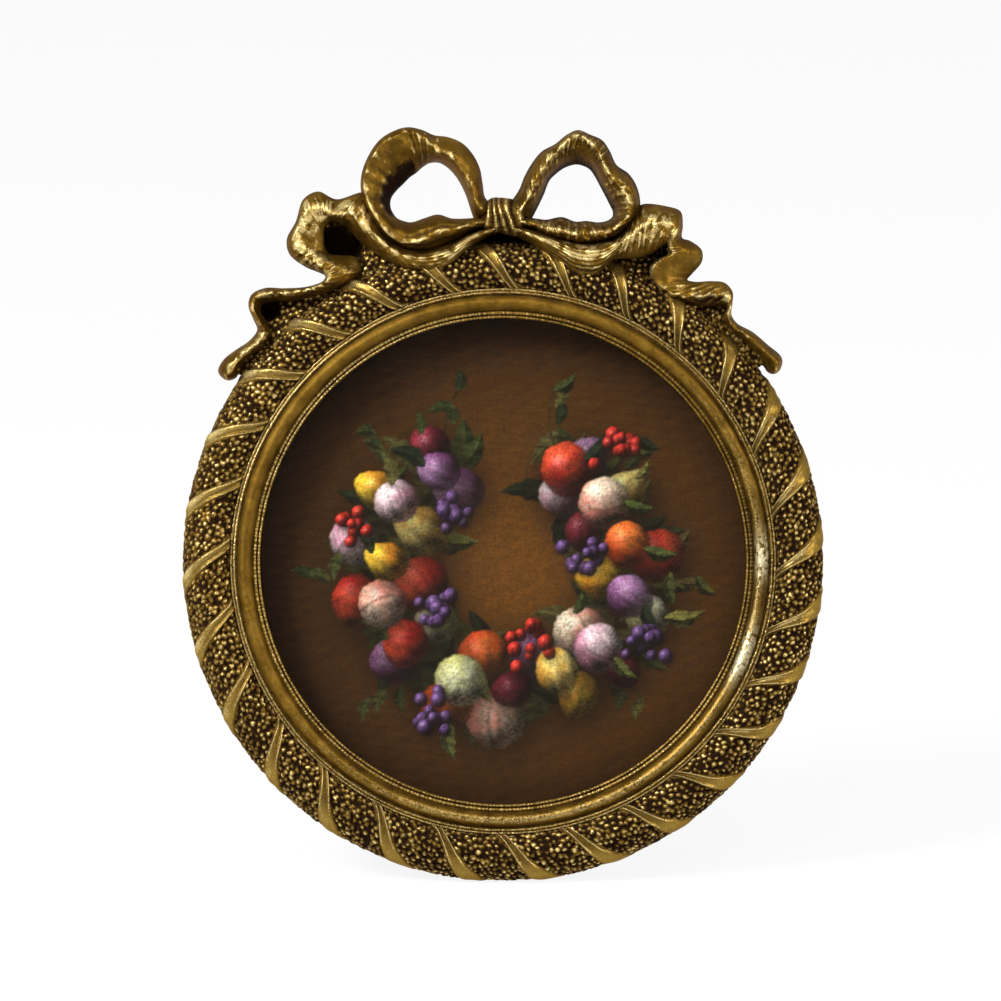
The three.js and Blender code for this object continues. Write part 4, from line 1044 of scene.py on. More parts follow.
class Ribbon:
    """A ribbon in relief. On its grid t counts stations along it, and u runs across it: -1 at the outer
    edge, 0 on the front ridge and 1 at the inner edge."""

    def __init__(self, table, place, style):
        table = np.array(table, float)
        last = len(table) - 1
        self.places = np.linspace(0, last, last * STATION_STEPS + 1)
        self.t = self.places[:, None]
        side = np.linspace(0, 1, SIDE_POINTS) ** 1.15
        self.u = np.concatenate((-side[:0:-1], side))[None, :]
        outer = through(place(table[:, 0:2]), self.places)
        inner = through(place(table[:, 2:4]), self.places)
        ridge, ridge_depth = (part[:, None] for part in through(table[:, 4:6], self.places).T)
        ridge = np.clip(ridge, 0.04, 0.96)
        share = np.where(self.u < 0, ridge * (1 + self.u), ridge + (1 - ridge) * self.u)
        self.plan = outer[:, None, :] + (inner - outer)[:, None, :] * share[:, :, None]
        self.edge = self.by_side(style["outer_edge"], style["inner_edge"])
        bulge = self.by_side(style["outer_bulge"], style["inner_bulge"])
        self.depth = self.edge + (ridge_depth - self.edge) * (1 - np.abs(self.u) ** bulge)
        width = np.linalg.norm(inner - outer, axis=1)[:, None]
        rim = near(np.abs(share - ridge) * width, 0, RIM_WIDTH)
        self.depth += style.get("rim", 0.12) * rim
        self.wash = np.full(rim.shape, 0.08) + style.get("edge_wash", 0.85) * np.abs(self.u) ** 2.5
        self.wear = style.get("rim_wear", 0.8) * rim

    def by_side(self, outer, inner):
        """Values along the outer and the inner side, each from pairs of station and value."""
        along = [by_pairs(self.t, pairs) for pairs in (outer, inner)]
        return np.where(self.u < 0, *along)

    def pleat(self, start, end, count, height, slant, low, high):
        phase = count * (self.t - start) / (end - start) + slant * self.u
        phase = phase + 0.12 * np.sin(2.3 * phase + 1.7)
        wave = (0.5 + 0.5 * np.cos(2 * math.pi * phase)) ** 1.4
        reach = window(self.t, start, end, 0.5) * window(self.u, low, high, 0.18)
        self.depth += height * (wave - 0.5) * reach
        self.wash += 0.75 * reach * (0.45 - wave)
        self.wear += 1.5 * reach * np.maximum(wave - 0.55, 0)

    def line(self, start, end, centre, spread, height):
        """A ridge along the ribbon, or a groove where its height is below 0."""
        line = near(self.u, centre, spread) * window(self.t, start, end, 0.7)
        self.depth += height * line
        if height > 0:
            self.wear += 0.8 * line
        else:
            self.wash += 0.7 * line

    def rub(self, start, end, low, high, strength):
        """A patch of wear and painted highlight, or of painted shade where its strength is below 0."""
        patch = window(self.t, start, end, 0.5) * window(self.u, low, high, 0.2)
        self.wear += strength * patch
        self.wash -= 0.3 * strength * patch

    def roughen(self, height):
        """Uneven casting: lumps and ripples that fade at the edges."""
        flat = np.dstack((self.plan, self.depth)).reshape(-1, 3)
        lumps = wander(flat, 3.1, 11).reshape(self.depth.shape)
        ripples = wander(flat, 1.3, 12).reshape(self.depth.shape)
        fade = np.sin(math.pi * (1 - np.abs(self.u)) / 2)
        self.depth += (height * lumps + 0.08 * ripples) * fade
        self.wear = self.wear * (0.75 + 0.45 * lumps + 0.4 * ripples) + 0.12 * ripples

    def round_tip(self):
        """Draw the last stretch together to a round tip."""
        to_tip = np.clip((self.t - self.places[-1] + TIP_STATIONS) / TIP_STATIONS, 0, 1)
        rounding = np.sqrt(1 - to_tip**2)
        middle = self.plan.mean(axis=1, keepdims=True)
        self.plan = lerp(middle, self.plan, rounding[:, :, None])
        self.depth = lerp(self.edge, self.depth, rounding)

    def closed(self, tip):
        """Points and faces of the ribbon with side walls, a back and flat ends where it has no tip."""
        back = np.full((len(self.places), 1, 1), RIBBON_BACK)
        front = np.dstack((self.plan, self.depth))
        walls = [np.dstack((self.plan[:, edge], back)) for edge in (slice(0, 1), slice(-1, None))]
        sheet = np.concatenate((walls[0], front, walls[1]), axis=1)
        rows, count, _ = sheet.shape
        faces = grid_faces(rows, count, close_columns=True).tolist()
        faces.append(list(range(count))[::-1])
        if not tip:
            faces.append(list(range((rows - 1) * count, rows * count)))
        return sheet.reshape(-1, 3), faces


def build_ribbon(name, table, place, node, style, tip=False):
    ribbon = Ribbon(table, place, style)
    for pleat in style["pleats"]:
        ribbon.pleat(*pleat)
    for line in style.get("lines", ()):
        ribbon.line(*line)
    for patch in style["painted_light_and_wear"]:
        ribbon.rub(*patch)
    ribbon.roughen(style.get("lumps", 0.18))
    if tip:
        ribbon.round_tip()
    points, faces = ribbon.closed(tip)
    if name.endswith("left"):
        faces = [face[::-1] for face in faces]
    wall_columns = ((0, 0), (1, 1))
    wash = np.pad(np.clip(ribbon.wash, 0, 1), wall_columns, constant_values=WALL_WASH)
    wear = np.pad(np.clip(ribbon.wear, 0, 1), wall_columns)
    satin = np.full(len(points), style.get("satin", 0.0))
    add_gold(name, points, faces, node, wash=wash, wear=wear, satin=satin)


# Styles of the ribbons. Edges are depths and bulges say how full a side is, by pairs of station and value.
# A pleat row: first and last station, count, height, slant, and its stretch across.
# A line: first and last station, place across, width and height.
# A patch of wear and painted light: first and last station, its stretch across and its strength, which
# # paints shade where it is below 0.
LEFT_LOOP_STYLE = {
    "outer_edge": [[0, 6.5], [6, 7.0], [9, 8.5], [16, 9.0], [19, 8], [23, 6]],
    "inner_edge": [[0, 5.4], [16, 5.4], [18, 7], [23, 7]],
    "outer_bulge": [[0, 2.2], [8, 2.0], [16, 2.0], [23, 1.6]],
    "inner_bulge": [[0, 1.8], [7, 1.8], [9.5, 2.5], [15.5, 2.5], [18, 2.4], [23, 2.2]],
    "pleats": [(6.4, 9.2, 3, 0.5, 0.5, -0.9, 0.9), (10.5, 15, 4, 0.22, 0.6, -0.2, 0.75)],
    "lines": [
        (9.2, 15.8, 0.6, 0.05, 0.14),
        (9.2, 15.8, 0.8, 0.14, -0.05),
        (15.5, 18.5, -0.1, 0.1, 0.3),
        (18, 22, -0.45, 0.2, -0.4),
        (17.5, 22, 0.25, 0.1, -0.2),
    ],
    # Patches of wear and painted light; those below 0 are painted shade.
    "painted_light_and_wear": [
        (2, 7, -0.3, 0.5, 0.12),
        (9.5, 15.5, -0.3, 0.5, -0.35),
        (9, 15.5, 0.62, 1.2, -1.1),
        (13.2, 17.2, -0.14, 0.12, 0.7),
    ],
    "edge_wash": 0.35,
    "lumps": 0.22,
    "rim_wear": 0.5,
    "satin": 0.45,
}
RIGHT_LOOP_STYLE = {
    "outer_edge": [[0, 6.5], [6, 7.0], [23, 7]],
    "inner_edge": [[0, 5.4], [16, 5.4], [18, 7], [23, 7]],
    "outer_bulge": [[0, 2.0], [23, 2.0]],
    "inner_bulge": [[0, 1.6], [16, 1.6], [18, 2.2], [23, 2.2]],
    "pleats": [
        (16.8, 22, 9, 0.75, 0.3, -0.7, 0.8),
        (1, 7, 9, 0.35, 1.3, -0.6, 0.6),
        (7, 10, 6, 0.35, 0.8, -0.8, 0.4),
        (11, 16, 7, 0.3, 0.9, -0.4, 0.7),
    ],
    # Patches of wear and painted light.
    "painted_light_and_wear": [(1, 7, -0.4, 0.4, 0.3), (11, 16, -0.4, 0.4, 0.25), (17, 22, 0, 0.6, 0.3)],
    "rim": 0.3,
}
LEFT_TAIL_STYLE = {
    "outer_edge": [[0, 6], [4, 7.5], [7, 7], [9, 8], [14, 7], [20, 7.5], [25, 6], [28, 5]],
    "inner_edge": [[0, 6], [1, 9.2], [2, 10.4], [3, 10.5], [4, 9.6], [5, 8], [7, 6.5]]
    + [[9, 8.4], [13, 8.4], [14.5, 6.5], [16, 7.5], [18, 6], [28, 5]],
    "outer_bulge": [[0, 1.8], [28, 2.0]],
    "inner_bulge": [[0, 2.0], [4, 2.4], [8, 1.8], [14, 1.8], [15, 1.3], [17, 1.5], [28, 2.0]],
    "pleats": [
        (7, 11, 12, 0.45, -0.7, -0.7, 0.5),
        (13.2, 15.6, 6, 0.5, 0.4, -0.9, 0.3),
        (16.5, 19.5, 8, 0.4, 0.3, -0.8, 0.5),
        (22.5, 25.5, 5, 0.3, 0.3, -0.7, 0.7),
    ],
    "lines": [(0.8, 3.4, place, 0.06, -0.25) for place in (0.7, 0.4, 0.1, -0.25)]
    + [(1.0, 3.2, place, 0.06, 0.12) for place in (0.55, 0.25)],
    # Patches of wear and painted light.
    "painted_light_and_wear": [
        (0.9, 2.4, -0.4, 0.8, 0.75),
        (2.6, 6, -0.2, 0.8, 0.3),
        (6, 10.6, -0.75, 0.3, 0.9),
        (10.6, 13.2, -0.4, 0.35, 0.7),
        (8.5, 14.4, 0.1, 0.75, 0.6),
        (13.4, 15.2, -0.9, 0.25, 0.7),
        (14.6, 16.6, 0.1, 0.8, 0.35),
        (16.8, 20, -0.5, 0.3, 0.4),
        (22.5, 27.4, -0.5, 0.4, 0.5),
    ],
    "edge_wash": 0.45,
}
RIGHT_TAIL_STYLE = {
    "outer_edge": [[0, 6], [7, 7], [14, 7], [20, 7.5], [25, 6], [28, 5]],
    "inner_edge": [[0, 6], [1, 9.2], [2, 10.3], [4, 10.5], [5, 9.4], [6, 8.8]]
    + [[10, 8.6], [12, 7], [14, 6], [16, 6], [28, 5]],
    "outer_bulge": [[0, 1.8], [28, 2.0]],
    "inner_bulge": [[0, 2.0], [4, 2.4], [8, 2.0], [28, 2.0]],
    "pleats": [
        (5.2, 9.4, 7, 0.4, 0.9, -0.8, 0.8),
        (10.5, 14, 8, 0.5, 0.4, -0.2, 0.95),
        (14.2, 17.5, 8, 0.4, 0.3, 0.1, 0.95),
        (18, 21, 5, 0.35, 0.5, -0.8, 0.6),
        (23, 26, 4, 0.3, 0.3, -0.7, 0.7),
    ],
    "lines": [(1.2, 5.4, place, 0.05, -0.28) for place in (-0.65, -0.4, -0.15, 0.1, 0.32, 0.52, 0.74)]
    + [(2.0, 5.2, place, 0.05, 0.12) for place in (-0.52, -0.27, 0.2, 0.42, 0.63)]
    + [(19.6, 21.3, 0.3, 0.35, -0.6)],
    # Patches of wear and painted light; those below 0 are painted shade.
    "painted_light_and_wear": [
        (1.5, 5, -0.7, 0.2, 0.45),
        (1.2, 4.6, 0.75, 1, 0.4),
        (5.6, 9.6, -0.6, 0.6, 0.6),
        (9.4, 11.4, -0.5, 0.8, 0.45),
        (11, 14.4, 0, 0.9, 0.6),
        (14, 17, -0.7, 0.5, -0.3),
        (14.5, 18.5, 0.2, 0.95, 0.6),
        (18, 20, -0.8, 0.6, 0.3),
        (20.4, 22.6, -0.6, 0.4, 0.6),
        (23, 27.4, -0.6, 0.6, -0.45),
    ],
    "edge_wash": 0.6,
}

# Knot: half its width, height and depth, the depth of its middle and of its flat back
KNOT_HALF = (3.5, 2.75, 5.4)
KNOT_MIDDLE_DEPTH = 6.8
KNOT_BACK = 3.6
KNOT_ROWS = 70
KNOT_COLUMNS = 160


def knot_folds(x, y):
    """Slanting folds over the knot's front, from 0 in a crease to 1 on a fold."""
    slant = x + 0.22 * (y - 0.4) * x + 0.12 * y
    bunching = 2.3 * np.sin(3.1 * slant + 0.9 + 0.6 * y) + 0.7 * np.sin(3 * y + 2 * x)
    return (0.5 + 0.5 * np.cos(slant * 17 + bunching)) ** 1.1


def build_knot():
    """The knot: a squarish lump gathered in slanting folds, hanging lower on the right."""
    rise = np.linspace(-math.pi / 2, math.pi / 2, KNOT_ROWS)
    v, w = np.meshgrid(rise, full_turn(KNOT_COLUMNS), indexing="ij")
    girth = np.cos(v) ** 0.5
    x = np.sign(np.sin(w)) * np.abs(np.sin(w)) ** 0.75 * girth
    y = np.sin(v)
    z = np.cos(w) * girth
    fold = knot_folds(x, y)
    front = smoothstep(-0.1, 0.5, z)
    swell = 1 + 0.09 * front * (fold - 0.5)
    hang = 1.1 * smoothstep(-0.3, 1, x) * smoothstep(0.4, -1, y)
    flare = 1 + 0.1 * y * x - 0.1 * y
    half_width, half_height, half_depth = KNOT_HALF
    across = half_width * x * swell * flare
    up = KNOT_HEIGHT + 0.15 + half_height * y - hang - 0.3 * x * np.maximum(y, 0)
    depth = KNOT_MIDDLE_DEPTH + half_depth * z * swell - 0.5 * np.abs(y) ** 3
    points = np.dstack((across, up, np.maximum(depth, KNOT_BACK))).reshape(-1, 3)
    points[:, 2] += 0.12 * wander(points, 1.7, 14)
    wash = 0.12 + front * 0.8 * (1 - fold) ** 1.8
    wear = front * np.maximum(fold - 0.45, 0) * 1.5
    faces = grid_faces(KNOT_ROWS, KNOT_COLUMNS, close_columns=True)[:, ::-1]
    add_gold("bow_knot_folds", points, faces, "bow_knot", wash=wash, wear=wear)


# Web: the step and reach of its grid, its lap over the band, and its depth by the rise above the rim
WEB_STEP = 0.24
WEB_SPAN = 44
WEB_HEIGHTS = (22, 66)
WEB_INNER_RADIUS = CREST_RADIUS + 1.0
WEB_UNDERSIDE = -4
WEB_LAP = -1.4
WEB_SINK = 0.6
WEB_DEPTHS = [[WEB_LAP, 8.4], [-0.5, 7.2], [0, 6.9], [1.5, 6.4], [4, 5.0], [7, 3.6]]
WEB_PEBBLES = 0.48
POCKET_DEPTH = 3.2
WEB_TRIES = 30000


def inside(points, outline):
    """Which points lie inside a closed outline."""
    x, y = points.T
    result = np.zeros(len(points), bool)
    previous = outline[-1]
    for corner in outline:
        crosses = (corner[1] > y) != (previous[1] > y)
        slope = (previous[0] - corner[0]) / (previous[1] - corner[1] + 1e-12)
        result ^= crosses & (x < corner[0] + slope * (y - corner[1]))
        previous = corner
    return result


def web_outline():
    """Under the tails and the knot, and a little over the ring."""

    def along(table):
        rows = np.array(table, float)[CREST_PLATE_FIRST_STATION:-1]
        return lerp(from_rim(rows[:, 0:2]), from_rim(rows[:, 2:4]), CREST_PLATE_INSET)

    under = from_rim([[length, WEB_UNDERSIDE] for length in (45, 30, 10, -10, -30, -46)])
    return np.vstack((along(LEFT_TAIL)[::-1], from_knot(CREST_PLATE_TOP), along(RIGHT_TAIL), under))


def web_ground(plan, radius):
    """Depth of the web, which follows the band where it laps over it, and each point's share in a pocket."""
    rise = radius - OUTER_RADIUS
    bare = 1 - ((radius - CREST_RADIUS) / BAND_REACH) ** 2
    band = BAND_SIDE_DEPTH + BAND_RISE * np.sqrt(np.clip(bare, 0, 1))
    depth = np.where(rise < WEB_LAP, band - WEB_SINK, by_pairs(rise, WEB_DEPTHS))
    pocketed = np.zeros(len(plan))
    for x, y, reach in POCKETS:
        inwards = smoothstep(reach, 0.5 * reach, np.hypot(plan[:, 0] - x, plan[:, 1] - y))
        pocketed = np.maximum(pocketed, inwards)
    return lerp(depth, POCKET_DEPTH, pocketed), pocketed


def border(faces):
    """The edges that only one of the faces has."""
    edges = {}
    for face in faces.tolist():
        for a, b in zip(face, face[1:] + face[:1]):
            if edges.pop((b, a), None) is None:
                edges[(a, b)] = True
    return np.array(list(edges))


def web_pebbles(ground, keep):
    """Pebbles strewn over the kept points of the web."""
    wanted = np.flatnonzero(keep)
    chosen = ground[random.choice(wanted, WEB_TRIES)]
    chosen[:, :2] += random.uniform(-0.12, 0.12, (WEB_TRIES, 2))
    return strew(ground, wanted, chosen)


def build_web():
    """The pebbled ground between the ring and the ribbons, with a flat back."""
    xs = np.arange(-WEB_SPAN, WEB_SPAN + WEB_STEP, WEB_STEP)
    ys = np.arange(WEB_HEIGHTS[0], WEB_HEIGHTS[1] + WEB_STEP, WEB_STEP)
    plan = plan_grid(xs, ys)
    radius = np.hypot(*plan.T)
    keep = inside(plan, web_outline()) & (radius > WEB_INNER_RADIUS)
    depth, pocketed = web_ground(plan, radius)
    front = at_depth(plan, depth)
    dome, top, clean = web_pebbles(front, keep)
    # The pockets get no pebble tops, so they are painted dark as shade.
    wash, wear = pebble_finish(top * (1 - pocketed), clean)
    front[:, 2] += WEB_PEBBLES * dome * (1 - pocketed) - PEBBLE_SINK
    size = len(plan)
    front_faces = kept_faces(keep.reshape(len(ys), len(xs)))
    a, b = border(front_faces).T
    walls = np.column_stack((b, a, a + size, b + size))
    faces, used = only_used(np.vstack((front_faces, front_faces[:, ::-1] + size, walls)), 2 * size)
    points = np.vstack((front, at_depth(plan, WEB_BACK)))[used]
    wash = np.concatenate((wash, np.full(size, 0.5)))[used]
    wear = np.concatenate((wear, np.zeros(size)))[used]
    add_gold("crest_web", points, faces, "crest_plate", wash=wash, wear=wear)


build_band()
build_fillet()
build_half_round()
build_bead()
build_back()
build_ribbon("bow_loop_ribbon_left", LEFT_LOOP, from_knot, "bow_loop_left", LEFT_LOOP_STYLE)
build_ribbon("bow_loop_ribbon_right", RIGHT_LOOP, from_knot, "bow_loop_right", RIGHT_LOOP_STYLE)
build_ribbon("tail_ribbon_left", LEFT_TAIL, from_rim, "ribbon_tail_left", LEFT_TAIL_STYLE, tip=True)
build_ribbon("tail_ribbon_right", RIGHT_TAIL, from_rim, "ribbon_tail_right", RIGHT_TAIL_STYLE, tip=True)
build_knot()
build_web()


# Print: a garland of fruit and leaves on a brown ground


def linear(colour):
    """Everyday colour values as the linear ones that a material takes."""
    colour = np.asarray(colour, float)
    return np.where(colour <= 0.04045, colour / 12.92, ((colour + 0.055) / 1.055) ** 2.4)


def pointing(lean):
    return np.array([math.sin(lean), math.cos(lean)])


# Colours of the ground, of what lies in shade, of stems and veins, and of bloom on a fruit
WARM_GROUND = np.array([0.395, 0.24, 0.075])
DARK_GROUND = np.array([0.09, 0.045, 0.014])
SHADOW = np.array([0.09, 0.055, 0.03])
STEM = np.array([0.24, 0.2, 0.1])
VEIN = np.array([0.15, 0.16, 0.08])
BLOOM = np.array([0.5, 0.5, 0.52])
GLOW = (5, -3)
STEM_BREADTH = 0.28


class Canvas:
    """Colours over the print, painted as everyday colour values from 0 to 1."""

    def __init__(self, points):
        flat = at_depth(points, 0)
        self.points = points
        self.tone = 0.5 * wander(flat, 1.3, 21)
        self.streak = 0.5 * wander(flat * [0.35, 1.6, 1], 1.1, 22)
        self.daub = 0.5 * wander(flat, 0.7, 23) + 0.35 * wander(flat, 2.6, 24)
        self.colour = np.zeros((len(points), 3))

    def within(self, centre, reach):
        """The points in a square about a centre, and their offsets from it."""
        offset = self.points - centre
        hit = np.flatnonzero((np.abs(offset[:, 0]) < reach) & (np.abs(offset[:, 1]) < reach))
        return hit, offset[hit]

    def lay(self, hit, share, colour):
        """Lay a colour over what is there."""
        share = np.clip(share, 0, 1)[:, None]
        self.colour[hit] = self.colour[hit] * (1 - share) + np.clip(colour, 0, 1) * share

    def ground(self):
        fall = np.hypot(*(self.points - GLOW).T) / SIGHT_RADIUS
        light = np.clip(0.98 - 0.62 * fall**2 + 0.1 * self.streak + 0.07 * self.daub, 0, 1.1)
        self.colour[:] = lerp(DARK_GROUND, WARM_GROUND, light[:, None])

    def shadow(self, centre, size, strength):
        hit, offset = self.within(centre, 2.2 * size)
        self.lay(hit, strength * near(np.hypot(*offset.T), 0, size), SHADOW)

    def leaf(self, root, direction, length, breadth, colour):
        hit, _ = self.within(root + direction * length / 2, length)
        offset = self.points[hit] - root
        along = offset @ direction / length
        side = offset @ np.array([-direction[1], direction[0]])
        side = side + 0.14 * length * np.sin(3 * along)
        half = breadth / 2 * np.sin(math.pi * np.clip(along, 0, 1) ** 0.75) + 0.02
        ragged = half * (1 + 0.14 * self.tone[hit] + 0.07 * np.sin(26 * along))
        share = smoothstep(0.14, -0.14, np.abs(side) - ragged) * (along > 0) * (along < 1)
        turned = np.sign(side) * (0.3 * direction[0] + 0.12)
        ribs = 0.1 * np.sin(20 * along - 7 * np.abs(side) / breadth)
        lit = 0.85 + turned + ribs + 0.3 * self.streak[hit] + 0.2 * self.daub[hit]
        vein = 0.4 * near(side, 0, 0.03 * breadth + 0.08)
        self.lay(hit, 0.95 * share, colour * lit[:, None] + vein[:, None] * VEIN)

    def fruit(self, centre, size, lean, form, colours, bloom):
        """A rounded fruit. Its form: how long it is, how far its top narrows, and the depth of its cleft."""
        length, narrow, cleft = form
        hit, offset = self.within(centre, 1.5 * size)
        tone, daub = self.tone[hit], self.daub[hit]
        axis = pointing(lean)
        along = offset @ axis / (size * length)
        side = offset @ np.array([axis[1], -axis[0]]) / size
        waist = 1 - narrow * smoothstep(-0.1, 1.0, along)
        span = np.hypot(side / waist, along) * (1 + 0.05 * tone)
        lift = np.sqrt(np.clip(1 - span**2, 0, 1))
        light = np.clip((-0.5 * offset[:, 0] + 0.6 * offset[:, 1]) / size + 0.6 * lift, 0, 1.1)
        blush = smoothstep(-0.5, 0.7, 0.7 * side - 0.3 * along + 0.9 * daub)
        strokes = np.sin(9 * side / np.maximum(waist, 0.3) + 2.0 * tone) * lift
        bright = 0.24 + 0.86 * light**1.15 + 0.16 * daub + 0.1 * strokes
        seam = near(side, 0.25 * (1 - along**2), 0.07) * (along > -0.6)
        dimple = near(np.hypot(side, (along - 0.78) * 1.6), 0, 0.2)
        bright = bright * (1 - 0.45 * np.clip(cleft * (seam + dimple), 0, 1))
        dusty = bloom * lift * light * (0.7 + 0.5 * daub)
        gleam = near(np.hypot(offset[:, 0] + 0.3 * size, offset[:, 1] - 0.36 * size), 0, 0.3 * size)
        shade = lerp(*colours, blush[:, None]) * bright[:, None] + dusty[:, None] * BLOOM
        shade = shade + (0.22 * gleam * (0.8 + daub))[:, None]
        self.lay(hit, smoothstep(1.05, 0.93, span) * (0.72 + 0.28 * np.clip(light * 2, 0, 1)), shade)

    def stem(self, start, end):
        span = end - start
        hit, _ = self.within((start + end) / 2, np.linalg.norm(span))
        offset = self.points[hit] - start
        along = np.clip(offset @ span / (span @ span), 0, 1)[:, None]
        bow = 0.12 * np.sin(math.pi * along) * np.array([-span[1], span[0]])
        gap = np.linalg.norm(offset - along * span - bow, axis=1)
        shade = STEM * (0.8 + 0.3 * self.tone[hit])[:, None]
        self.lay(hit, 0.85 * smoothstep(STEM_BREADTH, 0.3 * STEM_BREADTH, gap), shade)


GREENS = np.array(
    [(0.12, 0.16, 0.09), (0.18, 0.21, 0.1), (0.24, 0.25, 0.12), (0.09, 0.12, 0.08), (0.3, 0.28, 0.14)]
)
# Fruit: size, form, pale and blushed colour, bloom
PEACH = (4.4, (0.98, 0.0, 0.7), ((0.97, 0.86, 0.74), (0.9, 0.52, 0.45)), 0.1)
PINK_PEACH = (4.2, (0.96, 0.0, 0.7), ((0.96, 0.85, 0.85), (0.78, 0.5, 0.6)), 0.14)
PEAR = (3.9, (1.28, 0.5, 0.1), ((0.93, 0.84, 0.5), (0.82, 0.58, 0.2)), 0.04)
LEMON = (3.5, (1.22, 0.3, 0.0), ((0.93, 0.76, 0.22), (0.84, 0.52, 0.12)), 0.03)
APPLE = (4.3, (0.92, 0.0, 0.5), ((0.86, 0.3, 0.17), (0.6, 0.09, 0.08)), 0.04)
ORANGE = (3.9, (0.98, 0.0, 0.2), ((0.94, 0.5, 0.2), (0.8, 0.26, 0.1)), 0.03)
PLUM = (3.5, (1.15, 0.1, 0.6), ((0.64, 0.46, 0.62), (0.38, 0.18, 0.34)), 0.22)
DAMSON = (3.2, (1.12, 0.1, 0.6), ((0.5, 0.14, 0.18), (0.26, 0.05, 0.09)), 0.12)
WHITE_PEACH = (4.0, (0.95, 0.0, 0.5), ((0.95, 0.94, 0.8), (0.78, 0.76, 0.46)), 0.08)
# Rows of fruit along the garland, and their radii
OUTER_FRUIT = [PLUM, PEAR, APPLE, WHITE_PEACH, DAMSON, LEMON, PEACH]
OUTER_FRUIT += [ORANGE, PLUM, APPLE, PINK_PEACH, LEMON, DAMSON]
INNER_FRUIT = [PINK_PEACH, DAMSON, LEMON, PEACH, PLUM]
INNER_FRUIT += [ORANGE, WHITE_PEACH, APPLE, PEAR, PLUM]
MIDDLE_FRUIT = [APPLE, PEACH, ORANGE, PLUM, PINK_PEACH, PEAR, DAMSON]
MIDDLE_FRUIT += [WHITE_PEACH, APPLE, PEACH, LEMON, PINK_PEACH, PLUM]
FRUIT_ROWS = ((OUTER_FRUIT, 23.5), (INNER_FRUIT, 14.6), (MIDDLE_FRUIT, 19.2))
# Berries: form, dark and red colour, and where each cluster lies, as degrees and radius
BERRY_FORM = (1.05, 0.0, 0.0)
DARK_BERRY = np.array([0.42, 0.28, 0.5])
RED_BERRY = np.array([0.84, 0.2, 0.15])
BERRY_COUNT = 13
CLUSTERS = ((43, 27), (82, 12), (118, 25), (163, 13), (205, 26.5), (240, 12), (286, 25), (318, 13))
SPRIGS = (26, 334, 306, 56, 104, 146, 214, 256)

painter = np.random.default_rng(61)


def spot(turn, radius):
    """A place on the garland, which is a little wider than high."""
    return np.array([0.4, -1.2]) + radius * np.array([math.sin(turn), 0.96 * math.cos(turn)])


def green(first=0):
    return GREENS[painter.integers(first, len(GREENS))]


def turns(start, end, count):
    return np.radians(np.linspace(start, end, count))


def paint_leaves(canvas):
    for turn in turns(24, 336, 120):
        root = spot(turn, painter.uniform(13.5, 24))
        lean = turn + painter.normal(0, 0.8) + (math.pi if painter.uniform() < 0.4 else 0)
        length = painter.uniform(5, 9.5)
        canvas.leaf(root, pointing(lean), length, length * painter.uniform(0.32, 0.5), green())


def paint_sprigs(canvas):
    """Sprigs that stand out of the garland, with three leaves each."""
    for turn in np.radians(SPRIGS):
        start = spot(turn, 20)
        end = spot(turn + (0.2 if turn > math.pi else -0.2), 30)
        canvas.stem(start, end)
        for share in (0.5, 0.75, 1.0):
            lean = turn + painter.normal(0, 0.7)
            canvas.leaf(lerp(start, end, share), pointing(lean), painter.uniform(3.2, 5), 1.9, green())


def paint_fruit(canvas, row, radius):
    """A row of fruit, most of them with a leaf."""
    for (size, form, colours, bloom), turn in zip(row, turns(33, 327, len(row))):
        centre = spot(turn + painter.uniform(-0.07, 0.07), radius + painter.uniform(-1.2, 1.2))
        size = size * painter.uniform(0.84, 1.06)
        lean = turn + painter.normal(0, 0.9)
        canvas.shadow(centre + [0.7, -0.9], size * 1.2, 0.65)
        canvas.fruit(centre, size, lean, form, np.array(colours), bloom)
        if painter.uniform() < 0.7:
            away = lean + painter.normal(0, 0.5)
            length = painter.uniform(3.6, 6.4)
            root = centre + size * 0.72 * pointing(lean)
            canvas.leaf(root, pointing(away), length, length * 0.42, green(1) * 1.15)


def paint_berries(canvas, turn, radius):
    """A cluster of berries, dark or red."""
    centre = spot(turn, radius)
    berry, bloom = (DARK_BERRY, 0.1) if painter.uniform() < 0.5 else (RED_BERRY, 0.02)
    for _ in range(BERRY_COUNT):
        place = centre + painter.normal(0, 1.5, 2)
        size = painter.uniform(0.8, 1.25)
        canvas.shadow(place + [0.2, -0.3], size * 1.1, 0.5)
        canvas.fruit(place, size, 0.0, BERRY_FORM, (berry, berry * 0.6), bloom)


def paint_garland(canvas):
    """A garland of fruit and leaves, open at the top."""
    canvas.ground()
    for turn in turns(32, 328, 24):
        canvas.shadow(spot(turn, 19.5) + [1.2, -1.6], 7.0, 0.28)
    paint_leaves(canvas)
    paint_sprigs(canvas)
    for row, radius in FRUIT_ROWS:
        paint_fruit(canvas, row, radius)
    for degrees, radius in CLUSTERS:
        paint_berries(canvas, math.radians(degrees), radius)


# The print's painted grid, and the bare paper round it that the rabbet hides
PRINT_STEP = 0.226
PRINT_REACH = 38.7
PAPER_INNER = 37.5
PAPER_FRONT = PRINT_FRONT - 0.01
PAPER_SIDES = 96
PAPER_HOLE = 0.1
BARE_PAPER = (0.2, 0.15, 0.09, 1)


